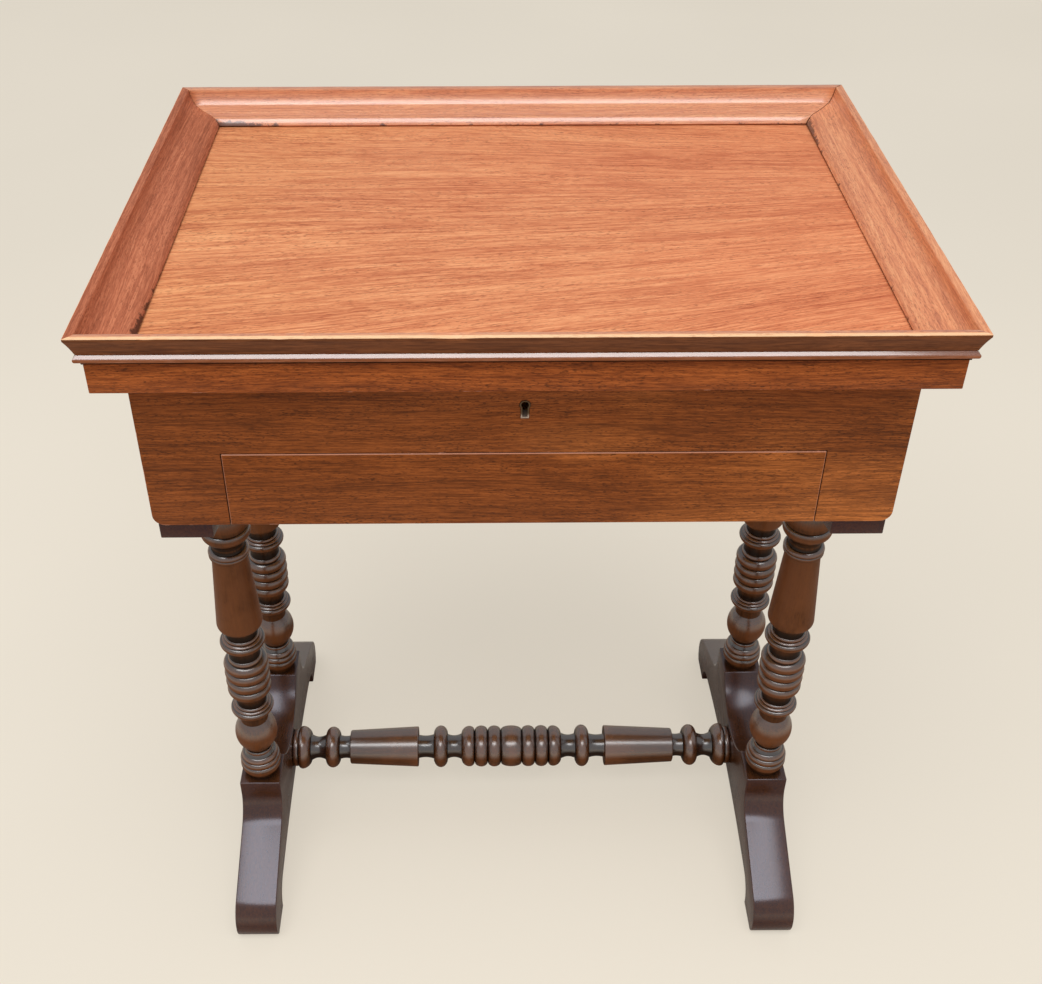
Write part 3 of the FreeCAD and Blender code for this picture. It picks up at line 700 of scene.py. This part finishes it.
def softened(node, name, width, materials, slot, segments=2, steep=28, worn=None):
    """Replace a CAD node with a copy whose hard edges are rounded over.

    worn gives how much an edge at a place is rubbed; without it each one counts alike.
    """
    bm = merged_copy(node)
    arris = bm.faces.layers.float.new("arris")
    hard = [edge for edge in bm.edges
            if edge.is_manifold and edge.is_convex
            and edge.calc_face_angle(0) > math.radians(steep)]
    rounded = bmesh.ops.bevel(
        bm, geom=hard, offset=width, offset_type="OFFSET", affect="EDGES",
        segments=segments, profile=0.5, material=-1, clamp_overlap=True)
    for face in rounded["faces"]:
        face[arris] = worn(face.calc_center_median()) if worn else 1.0
    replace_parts(piece_from(bm, name, body_of(node), materials), node)


def soften_boards(boards, ending, kind, width, slot, **options):
    """Round the edges of several boards, each given with the axis its grain follows."""
    for node, along in boards:
        softened(node, node + ending, width, [finish(kind + " along " + along)], slot,
                 **options)


def dress(node, material):
    """Give a CAD node that stays in view its finish."""
    mesh = nodes[node].data
    if mesh.materials:
        for index in range(len(mesh.materials)):
            mesh.materials[index] = material
    else:
        mesh.materials.append(material)


# Screws

# Height of a screw's head through the face that it lies in, and gap between a hinge's leaves
screw_rise = 0.12 * MM
leaf_gap = 0.1 * MM
hinge_screw_depth = 5 * MM
hinge_screw_insets = (7.5, 43.5)
strike_screw_reach = 13.4 * MM
# Each screw's slot is turned from the last one's, in radians
first_turn, next_turn = 0.7, 1.9


def screws(name, node, places, up, radius):
    """Make one piece of level screw heads, facing up or down on a fitting, with their slots
    painted dark as shade.
    """
    bm = bmesh.new()
    facing = Vector((0, 0, 1)).rotation_difference(Vector((0, 0, up))).to_matrix().to_4x4()
    for index, centre in enumerate(places):
        head = bmesh.new()
        bmesh.ops.create_cone(head, cap_ends=True, segments=24, radius1=radius,
                              radius2=radius * 0.93, depth=screw_rise)
        for side in (-1, 1):
            bmesh.ops.bisect_plane(
                head, geom=head.verts[:] + head.edges[:] + head.faces[:], dist=1e-7,
                plane_co=(0, side * radius * 0.14, 0), plane_no=(0, 1, 0))
        # The slot's faces take the near-black finish: painted shade where the slot would be
        for face in head.faces:
            in_slot = abs(face.calc_center_median().y) < radius * 0.1
            face.material_index = 1 if in_slot and face.normal.z > 0.9 else 0
        turn = Matrix.Rotation(first_turn + index * next_turn, 4, "Z")
        bmesh.ops.transform(head, matrix=Matrix.Translation(centre) @ facing @ turn,
                            verts=head.verts)
        loose = mesh_from(head, "loose")
        bm.from_mesh(loose)
        bpy.data.meshes.remove(loose)
    bmesh.ops.recalc_face_normals(bm, faces=bm.faces)
    piece_from(bm, name, body_of(node), [finish("steel"), finish("groove along X")])


# Turned work

bead_steps = 10
ball_steps = 18
# How high each form stands as a share of a full crest, for the stain's rubbing
start_crest = 0.4
tenon_crest = 0.2
fillet_crest = 0.62
hollow_crest = 0.3
# A run longer than this is the barrel, which is rubbed all over, and a swell that reaches
# past this radius counts as a fillet, both in millimetres
barrel_run = 40
fillet_radius = 16
# Radius and length of the tenons
leg_tenon = (9.4, 19.9)
stretcher_tenon = (7.9, 14.9)
# Each form has its kind, length, middle radius and end radius, in millimetres
leg_start = 14.6
leg_elements = [
    ("line", 5.3, None, 15.2),
    ("bead", 11.5, 19.4, 17.4),
    ("bead", 6.6, 19.2, 16.8),
    ("bead", 5.9, 17.3, 14.6),
    ("line", 3.3, None, 12.6),
    ("bead", 3.6, 13.8, 12.6),
    ("line", 3.2, None, 13.0),
    ("ball", 35.4, 20.1, 13.2),
    ("line", 11.5, None, 13.8),
    ("bead", 8.9, 19.8, 17.2),
    ("bead", 2.2, 17.4, 15.0),
    ("bead", 2.4, 15.4, 13.8),
    ("line", 9.5, None, 14.0),
    ("line", 3.2, None, 15.6),
    ("bead", 11.1, 20.4, 16.5),
    ("bead", 11.1, 20.6, 16.5),
    ("bead", 11.1, 20.7, 16.5),
    ("bead", 11.1, 20.5, 15.6),
    ("bead", 4.0, 15.6, 14.2),
    ("line", 12.1, None, 14.4),
    ("bead", 9.4, 20.4, 17.6),
    ("bead", 2.2, 17.6, 15.2),
    ("bead", 3.0, 15.8, 14.2),
    ("line", 10.0, None, 14.2),
    ("half bead", 6.2, None, 20.8),
    ("line", 79.0, None, 15.4),
    ("line", 0.4, None, 17.2),
    ("bead", 3.4, 17.7, 16.8),
    ("bead", 5.2, 17.6, 14.6),
    ("line", 4.0, None, 14.0),
    ("swell", 9.0, 15.2, 18.6),
    ("bead", 10.4, 21.5, 19.2),
    ("bead", 17.5, 19.7, 17.2),
]
stretcher_start = 18.4
half_stretcher_elements = [
    ("bead", 5.5, 19.4, 18.6),
    ("bead", 13.0, 21.6, 13.6),
    ("swell", 15.4, 10.9, 13.2),
    ("bead", 15.0, 21.2, 12.4),
    ("swell", 10.8, 11.4, 12.0),
    ("line", 0.3, None, 16.6),
    ("line", 0.8, None, 17.4),
    ("line", 70.2, None, 20.8),
    ("line", 0.6, None, 20.3),
    ("line", 0.3, None, 12.2),
    ("swell", 15.8, 11.2, 12.6),
    ("bead", 15.0, 21.7, 12.8),
    ("swell", 14.4, 11.3, 13.4),
    ("bead", 13.9, 20.9, 16.0),
    ("bead", 13.9, 21.3, 16.2),
    ("bead", 13.9, 21.3, 16.2),
    ("half bead", 11.0, None, 21.2),
]


def turned_outline(start, elements, whole):
    """Return outline points (radius, distance along, crest share) in millimetres.

    A bead swells out of the line between its ends to its middle radius, a swell does the
    same as a shallow arc, a ball is part of a sphere drawn long, and a line runs straight.
    The lengths are fitted to the whole.
    """
    fit = whole / sum(element[1] for element in elements)
    points = [(start, 0.0, start_crest)]
    at, radius = 0.0, start
    for kind, run, middle, end in elements:
        run = run * fit
        if kind == "line":
            points.append((end, at + run, 1.0 if run > barrel_run else fillet_crest))
        elif kind == "ball":
            flatness = 1 - (end / middle) ** 2
            for step in range(1, ball_steps + 1):
                passed = step / ball_steps
                out = math.sqrt(1 - flatness * (2 * passed - 1) ** 2)
                points.append((middle * out, at + run * passed, out))
        elif kind == "half bead":
            for step in range(1, bead_steps + 1):
                angle = math.pi / 2 * step / bead_steps
                points.append((radius + (end - radius) * math.sin(angle) ** 0.8,
                               at + run * (1 - math.cos(angle)), math.sin(angle)))
        else:
            for step in range(1, bead_steps + 1):
                angle = math.pi * step / bead_steps
                if kind == "bead":
                    passed = (1 - math.cos(angle)) / 2
                    out = math.sin(angle)
                    crest = out
                else:
                    passed = step / bead_steps
                    out = 4 * passed * (1 - passed)
                    crest = fillet_crest if middle > fillet_radius else hollow_crest
                base = radius + (end - radius) * passed
                points.append((base + (middle - (radius + end) / 2) * out,
                               at + run * passed, crest))
        at, radius = at + run, end
    return points


def turned_piece(name, node, outline, place, axis, material, steps):
    """Replace a CAD node with an outline spun round an axis, closed at both ends.

    place turns a radius and a distance along, in millimetres, into a point in space.
    """
    bm = bmesh.new()
    crest = bm.verts.layers.float.new("crest")
    chain = []
    for radius, along, height in outline:
        vert = bm.verts.new(place(radius, along))
        vert[crest] = height
        chain.append(vert)
    edges = [bm.edges.new(pair) for pair in zip(chain, chain[1:])]
    bmesh.ops.spin(bm, geom=chain + edges, cent=place(0, 0), axis=axis,
                   dvec=(0, 0, 0), angle=math.tau, steps=steps, use_merge=True,
                   use_normal_flip=False, use_duplicate=False)
    bmesh.ops.remove_doubles(bm, verts=bm.verts, dist=0.01 * MM)
    rims = [edge for edge in bm.edges if edge.is_boundary]
    bmesh.ops.holes_fill(bm, edges=rims, sides=steps + 1)
    bmesh.ops.recalc_face_normals(bm, faces=bm.faces)
    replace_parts(piece_from(bm, name, body_of(node), [material], 42), node)


def tenoned(outline, radius, reach):
    """Return an outline with a round tenon at each end."""
    last = outline[-1][1]
    start, end = ([(radius, along, tenon_crest) for along in pair]
                  for pair in ((-reach, 0.0), (last, last + reach)))
    return start + outline + end


# Lid moulding

# The moulding's outline: inset from the rim, drop from its top, the bow of the run that
# ends there as a share of its chord, and that run's number of steps
section_runs = [
    (6.8, -23.6, 0, 1), (6.8, -21.0, 0, 1), (4.6, -21.0, 0, 1), (3.0, -19.2, 0.2, 5),
    (3.0, -18.3, 0, 1), (3.5, -17.4, 0.12, 3), (5.6, -15.3, 0, 1), (4.8, -14.8, 0, 1),
    (0.0, -2.0, -0.02, 8), (0.0, -0.4, 0, 1), (0.4, 0.0, 0.207, 3), (3.2, 0.0, 0, 1),
    (6.2, 0.0, 0, 1), (6.9, -0.7, 0.15, 2), (12.6, -12.2, -0.07, 10),
    (26.0, -15.6, -0.03, 6), (36.6, -22.0, 0.177, 10), (36.0, -22.9, 0, 1),
    (35.4, -23.6, 0, 1),
]
section_reach = 36.6
# Old dirt lies along the foot, wider and thicker over this length from a corner
soiled_corner = 70

# Nicks along the front arris: place from the middle, half length and depth
front_nicks = [
    (-160.0, 7.0, 1.6), (-143.0, 5.0, 1.0), (-47.0, 17.0, 2.2), (118.0, 6.0, 0.8),
    (188.0, 9.0, 0.9), (252.0, 7.0, 0.8), (-246.0, 6.0, 0.8), (32.0, 5.0, 0.5),
]


def moulding_section():
    """Return the moulding's closed outline as (inset, drop), in millimetres."""
    points = [section_runs[0][:2]]
    for inset, drop, bow, steps in section_runs[1:]:
        from_inset, from_drop = points[-1]
        across, down = inset - from_inset, drop - from_drop
        for step in range(1, steps + 1):
            passed = step / steps
            out = 4 * passed * (1 - passed) * bow
            points.append((from_inset + across * passed - down * out,
                           from_drop + down * passed + across * out))
    return points


def moulding_zone(side, inset, drop):
    """Return which finish a face of the moulding takes from its place in the section.

    They are 0 the worn arris, 1 the rim's face, 2 the bead, 3 the slope and 4 the recess under
    the bead, which takes a near-black finish as painted shade.
    Only the front's arris is worn right across.
    """
    worn = 4.0 if side == "front" else 0.7
    if inset > 7:
        return 3
    # Painted shade: the recess under the bead takes the near-black finish
    if drop < -20.9:
        return 4
    if drop < -14.75:
        return 2
    if inset < worn and drop > -0.38:
        return 0
    return 1 if inset < 0.6 or drop < -2 and inset < 4.8 else 3


def nick_depth(x):
    """Return how deep the front arris is worn at a place along it, in millimetres."""
    worn = 0.1 + 0.3 * noise.noise(Vector((x * 0.045, 2.0, 0.0)))
    for middle, half, depth in front_nicks:
        away = abs(x - middle) / half
        if away < 1:
            worn += depth * (1 - away ** 2) ** 1.5
    return max(worn, 0.0)


def soil_at(side, inset, along, half_run, patch):
    """Return how much old dirt lies at a place on the moulding's foot."""
    from_corner = half_run - section_reach - along * (1 if side == "right" else -1)
    corner = max(0.0, 1 - from_corner / soiled_corner)
    near_foot = max(0.0, 1 - (section_reach - inset) / (2.5 + 3.5 * corner))
    return near_foot * min(1.0, max(0.0, 0.35 + patch + 0.9 * corner))


def lid_moulding(side, steps, materials):
    """Replace one mitred length of the moulding with its full section."""
    node = "lid_" + side + "_moulding"
    _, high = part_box("lid_back_moulding")
    long_x = side in ("front", "back")
    sign = -1 if side in ("front", "left") else 1
    half_run = (high.x if long_x else high.y) / MM
    half_out = (high.y if long_x else high.x) / MM
    top = high.z / MM
    section = moulding_section()
    bm = bmesh.new()
    soil = bm.verts.layers.float.new("soil")
    ring = [bm.verts.new((-1.0, inset, drop)) for inset, drop in section]
    edges = [bm.edges.new(pair) for pair in zip(ring, ring[1:] + ring[:1])]
    grown = bmesh.ops.extrude_edge_only(bm, edges=edges)["geom"]
    moved = [item for item in grown if isinstance(item, bmesh.types.BMVert)]
    bmesh.ops.translate(bm, verts=moved, vec=(2.0, 0, 0))
    long_edges = [edge for edge in bm.edges
                  if abs(edge.verts[0].co.x - edge.verts[1].co.x) > 1]
    bmesh.ops.subdivide_edges(bm, edges=long_edges, cuts=steps - 1, use_grid_fill=True)
    for face in bm.faces:
        centre = face.calc_center_median()
        face.material_index = moulding_zone(side, centre.y, centre.z)
    ends = [edge for edge in bm.edges if edge.is_boundary]
    bmesh.ops.holes_fill(bm, edges=ends, sides=len(section) + 1)
    for vert in bm.verts:
        passed, inset, drop = vert.co
        along = passed * (half_run - inset)
        patch = noise.noise(Vector((along * 0.09, half_out, 4.0))) * 0.6
        vert[soil] = soil_at(side, inset, along, half_run, patch)
        if side == "front" and inset < 6 and drop > -6:
            worn = nick_depth(along) * max(0.0, 1 - math.hypot(inset, drop) / 6)
            inset += worn * 0.8
            drop -= worn * 0.7
        elif inset < 4 and drop > -3:
            worn = 0.15 + 0.3 * noise.noise(Vector((along * 0.05, half_out, sign)))
            inset += max(worn, 0) * 0.5
            drop -= max(worn, 0) * 0.4
        out = sign * (half_out - inset)
        place = (along, out, top + drop) if long_x else (out, along, top + drop)
        vert.co = Vector(place) * MM
    bmesh.ops.recalc_face_normals(bm, faces=bm.faces)
    cap_edges = {edge for face in bm.faces if len(face.verts) > 20 for edge in face.edges}
    bmesh.ops.bevel(
        bm, geom=list(cap_edges), offset=0.3 * MM, offset_type="OFFSET", affect="EDGES",
        segments=1, profile=0.5, material=-1, clamp_overlap=True)
    piece = piece_from(bm, side + "_moulding", body_of(node), materials, 32)
    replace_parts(piece, node)


# Stage

# The camera was solved from the table's straight edges; its heading, tilt and roll are in
# degrees
camera_place = (-0.03127, -0.93229, 1.15095)
camera_turn = (-0.429, 90 - 35.922, -0.062)
camera_shift = (0.03167, -0.0595)
lamp_place = (-0.2, -1.05, 3.0)
lamp_size = (3.1, 2.3)
sky_colour = (0.97, 0.98, 1.0)
floor_radius = 14
black = (0, 0, 0)


# Operators

# Edges of the drawer's front within this distance of its outline count as its own
front_edge = 2 * MM


class PieceOperator:
    """Shared by every operator here; each has a make that builds its pieces."""

    bl_options = {"REGISTER", "UNDO"}

    def execute(self, context):
        """Make the pieces and say that they are done."""
        self.make(context.scene.dressing_table)
        return {"FINISHED"}


class TABLE_OT_lid_moulding(PieceOperator, bpy.types.Operator):
    """Make the four mitred lengths of the moulding round the lid"""

    bl_idname = "dressing_table.lid_moulding"
    bl_label = "Lid moulding"

    def make(self, settings):
        steps = settings.lid.moulding_steps
        for side, along in sides:
            rim = "rim" if side == "front" else "side rim"
            # The left slope takes the darker colours and the others the paler ones: partly the
            # wood's own tone and partly painted light and shade between the sides
            slope = "slope" if side == "left" else "bright slope"
            materials = [finish(kind + " along " + along)
                         for kind in (rim, "rim face", "bead", slope, "groove")]
            lid_moulding(side, steps if side == "front" else steps // 4, materials)


class TABLE_OT_lid_panel(PieceOperator, bpy.types.Operator):
    """Dress the sunk panel of the lid"""

    bl_idname = "dressing_table.lid_panel"
    bl_label = "Lid panel"

    def make(self, settings):
        dress("lid_panel", finish("panel"))


class TABLE_OT_lid_rails(PieceOperator, bpy.types.Operator):
    """Round the edges of the lid's four rails"""

    bl_idname = "dressing_table.lid_rails"
    bl_label = "Lid rails"

    def make(self, settings):
        for side, along in sides:
            softened("lid_" + side + "_rail", side + "_rail", settings.lid.rail_softening,
                     [finish("rail along " + along)], "lid_frame")


class TABLE_OT_case_boards(PieceOperator, bpy.types.Operator):
    """Round the edges of the case's outside boards"""

    bl_idname = "dressing_table.case_boards"
    bl_label = "Case boards"

    def make(self, settings):
        soften_boards(
            (("case_front", "X"), ("case_back", "X"), ("case_left_side", "Y"),
             ("case_right_side", "Y")), "_board", "case", settings.case.edge_softening, "case")


class TABLE_OT_case_inside(PieceOperator, bpy.types.Operator):
    """Dress the boards inside and under the case"""

    bl_idname = "dressing_table.case_inside"
    bl_label = "Case inside"

    def make(self, settings):
        boards = [(side + part, "Y") for part in ("_well_divider", "_runner", "_bottom_board")
                  for side in ("left", "right")]
        soften_boards(boards, "_board", "inside", settings.case.inside_softening, "carcass")
        for node, along in (("well_floor", "X"), ("left_drawer_partition", "Y"),
                            ("right_drawer_partition", "Y"), ("drawer_stops", "Y")):
            dress(node, finish("inside along " + along))


class TABLE_OT_drawer(PieceOperator, bpy.types.Operator):
    """Round the edges of the drawer's boards"""

    bl_idname = "dressing_table.drawer"
    bl_label = "Drawer"

    def make(self, settings):
        low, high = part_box("drawer_front")

        def worn(place):
            """Return how much an edge of the front is rubbed: most along its top."""
            if place.y - low.y > front_edge:
                return 0.5
            if high.z - place.z < front_edge:
                return 1.8
            return 1.35 if min(place.x - low.x, high.x - place.x) < front_edge else 0.8

        softened("drawer_front", "drawer_front_board", settings.case.edge_softening,
                 [finish("case along X")], "case", worn=worn)
        soften_boards(
            (("drawer_left_side", "Y"), ("drawer_right_side", "Y"), ("drawer_back", "X")),
            "_board", "inside", settings.case.inside_softening, "carcass")
        dress("drawer_bottom", finish("inside along X"))


class TABLE_OT_feet(PieceOperator, bpy.types.Operator):
    """Round the edges of the two feet"""

    bl_idname = "dressing_table.feet"
    bl_label = "Feet"

    def make(self, settings):
        soften_boards((("left_foot", "Y"), ("right_foot", "Y")), "_block", "trestle",
                      settings.trestle.foot_softening, "trestle", segments=3)


class TABLE_OT_bearers(PieceOperator, bpy.types.Operator):
    """Round the edges of the two bearers under the case"""

    bl_idname = "dressing_table.bearers"
    bl_label = "Bearers"

    def make(self, settings):
        soften_boards((("left_bearer", "Y"), ("right_bearer", "Y")), "_block", "trestle",
                      settings.trestle.bearer_softening, "trestle")


class TABLE_OT_legs(PieceOperator, bpy.types.Operator):
    """Turn the four legs"""

    bl_idname = "dressing_table.legs"
    bl_label = "Legs"

    def make(self, settings):
        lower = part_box("right_foot")[1].z
        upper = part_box("right_bearer")[0].z
        outline = turned_outline(leg_start, leg_elements, (upper - lower) / MM)
        outline = tenoned(outline, *leg_tenon)
        for node in ("front_left_leg", "front_right_leg", "rear_left_leg", "rear_right_leg"):
            low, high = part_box(node)
            centre = (low + high) / 2

            def place(radius, along):
                """Return a point of this leg."""
                return Vector((centre.x + radius * MM, centre.y, lower + along * MM))

            turned_piece(node + "_turning", node, outline, place, (0, 0, 1),
                         finish("turning along Z"), settings.trestle.turning_steps)


class TABLE_OT_stretcher(PieceOperator, bpy.types.Operator):
    """Turn the stretcher between the feet"""

    bl_idname = "dressing_table.stretcher"
    bl_label = "Stretcher"

    def make(self, settings):
        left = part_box("left_foot")[1].x
        half = -left / MM
        points = turned_outline(stretcher_start, half_stretcher_elements, half)
        far = [(radius, 2 * half - along, crest) for radius, along, crest
               in reversed(points[:-1])]
        low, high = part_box("stretcher")
        centre = (low + high) / 2

        def place(radius, along):
            """Return a point of the stretcher."""
            return Vector((left + along * MM, centre.y, centre.z + radius * MM))

        turned_piece("stretcher_turning", "stretcher", tenoned(points + far, *stretcher_tenon),
                     place, (1, 0, 0), finish("turning along X"),
                     settings.trestle.turning_steps)


class TABLE_OT_mirror(PieceOperator, bpy.types.Operator):
    """Dress the mirror under the lid and its frame"""

    bl_idname = "dressing_table.mirror"
    bl_label = "Mirror"

    def make(self, settings):
        dress("mirror_glass", finish("mirror"))
        for side, along in sides:
            softened("mirror_" + side + "_strip", "mirror_" + side + "_frame", 0.4 * MM,
                     [finish("rail along " + along)], "lid_frame")


class TABLE_OT_lock(PieceOperator, bpy.types.Operator):
    """Make the lock, its bolt, its strike plate and the lining of the keyhole"""

    bl_idname = "dressing_table.lock"
    bl_label = "Lock"

    def make(self, settings):
        for node, name, width, kind in (
                ("lock_body", "lock_case", 0.4, "brass"), ("lock_bolt", "bolt", 0.6, "steel"),
                ("strike_plate", "strike", 0.3, "brass"),
                ("keyhole_escutcheon", "keyhole_lining", 0.25, "lining")):
            softened(node, name, width * MM, [finish(kind)], "brass")


class TABLE_OT_hinges(PieceOperator, bpy.types.Operator):
    """Make the hinges and the screws of the fittings"""

    bl_idname = "dressing_table.hinges"
    bl_label = "Hinges"

    def make(self, settings):
        for node in ("case_hinge_leaves", "lid_hinge_leaves"):
            softened(node, node.replace("_leaves", "_plates"), 0.25 * MM,
                     [finish("brass")], "brass", segments=1, steep=50)
        dress("hinge_pins", finish("steel"))
        low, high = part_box("case_hinge_leaves")
        seam = (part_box("lock_body")[1].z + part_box("strike_plate")[0].z) / 2
        radius = settings.fittings.screw_radius
        for part, up in (("case", 1), ("lid", -1)):
            places = [(side * (high.x - inward * MM), low.y + hinge_screw_depth,
                       seam - up * leaf_gap)
                      for side in (-1, 1) for inward in hinge_screw_insets]
            screws(part + "_hinge_screws", part + "_hinge_leaves", places, up, radius)
        low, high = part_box("strike_plate")
        places = [(side * strike_screw_reach, (low.y + high.y) / 2, low.z) for side in (-1, 1)]
        screws("strike_screws", "strike_plate", places, -1, radius * 0.8)


class TABLE_OT_stage(PieceOperator, bpy.types.Operator):
    """Make the floor, the lights and the camera"""

    bl_idname = "dressing_table.stage"
    bl_label = "Stage"

    def make(self, settings):
        stage = settings.stage
        scene = bpy.context.scene
        bm = bmesh.new()
        bmesh.ops.create_circle(bm, cap_ends=True, segments=96, radius=floor_radius)
        floor = shown("floor", mesh_from(bm, "floor"))
        material, tree, shader = new_material("plain floor")
        shade = remap(tree, noise_field(tree, object_place(tree), 0.9, 0.9), 0.3, 0.7)
        body = mix_colour(tree, shade, tuple(c * 0.97 for c in stage.floor), stage.floor)
        seen = add(tree, "ShaderNodeLightPath").outputs["Is Camera Ray"]
        feed(shader, {
            "Base Color": mix_colour(tree, times(tree, seen, 1 - stage.shadow), body, black),
            "Emission Color": mix_colour(tree, times(tree, seen, stage.glow), black, body),
            "Emission Strength": 1.0, "Roughness": 0.9, "Specular IOR Level": 0.2})
        floor.data.materials.append(material)

        world = bpy.data.worlds.new("even sky")
        scene.world = world
        world.use_nodes = True
        feed(world.node_tree.nodes["Background"],
             {"Color": sky_colour, "Strength": stage.sky})

        data = bpy.data.lights.new("key", "AREA")
        data.shape = "ELLIPSE"
        data.size, data.size_y = lamp_size
        data.energy = stage.key
        lamp = shown("key", data)
        lamp.location = lamp_place
        lamp.rotation_euler = Vector((0, 0, -1)).to_track_quat("-Z", "Y").to_euler()

        data = bpy.data.cameras.new("camera")
        data.lens = stage.lens
        data.sensor_width = 36
        data.shift_x, data.shift_y = camera_shift
        data.clip_start, data.clip_end = 0.05, 60
        camera = shown("camera", data)
        heading, tilt, roll = (math.radians(angle) for angle in camera_turn)
        turn = (Matrix.Rotation(heading, 4, "Z") @ Matrix.Rotation(tilt, 4, "X")
                @ Matrix.Rotation(roll, 4, "Z"))
        camera.matrix_world = Matrix.Translation(camera_place) @ turn
        scene.camera = camera
        scene.view_settings.view_transform = "Standard"


class TABLE_PT_pieces(bpy.types.Panel):
    """Lists the pieces of the dressing table"""

    bl_label = "Dressing table"
    bl_idname = "TABLE_PT_pieces"
    bl_space_type = "VIEW_3D"
    bl_region_type = "UI"
    bl_category = "Dressing table"

    def draw(self, context):
        """List the operators."""
        for operator in operators:
            self.layout.operator(operator.bl_idname)


setting_groups = (LidSettings, CaseSettings, TrestleSettings, FittingSettings, StageSettings,
                  TableSettings)
operators = (
    TABLE_OT_lid_panel, TABLE_OT_lid_moulding, TABLE_OT_lid_rails, TABLE_OT_case_boards,
    TABLE_OT_case_inside, TABLE_OT_drawer, TABLE_OT_feet, TABLE_OT_bearers, TABLE_OT_legs,
    TABLE_OT_stretcher, TABLE_OT_mirror, TABLE_OT_lock, TABLE_OT_hinges, TABLE_OT_stage,
)


def register():
    """Add the settings, the operators and the panel to Blender."""
    for cls in setting_groups + operators + (TABLE_PT_pieces,):
        bpy.utils.register_class(cls)
    bpy.types.Scene.dressing_table = PointerProperty(type=TableSettings)


def unregister():
    """Take the settings, the operators and the panel away again."""
    del bpy.types.Scene.dressing_table
    for cls in reversed(setting_groups + operators + (TABLE_PT_pieces,)):
        bpy.utils.unregister_class(cls)


def main():
    """Make every piece in order."""
    register()
    for operator in operators:
        group, name = operator.bl_idname.split(".")
        getattr(getattr(bpy.ops, group), name)()


if __name__ == "__main__":
    main()
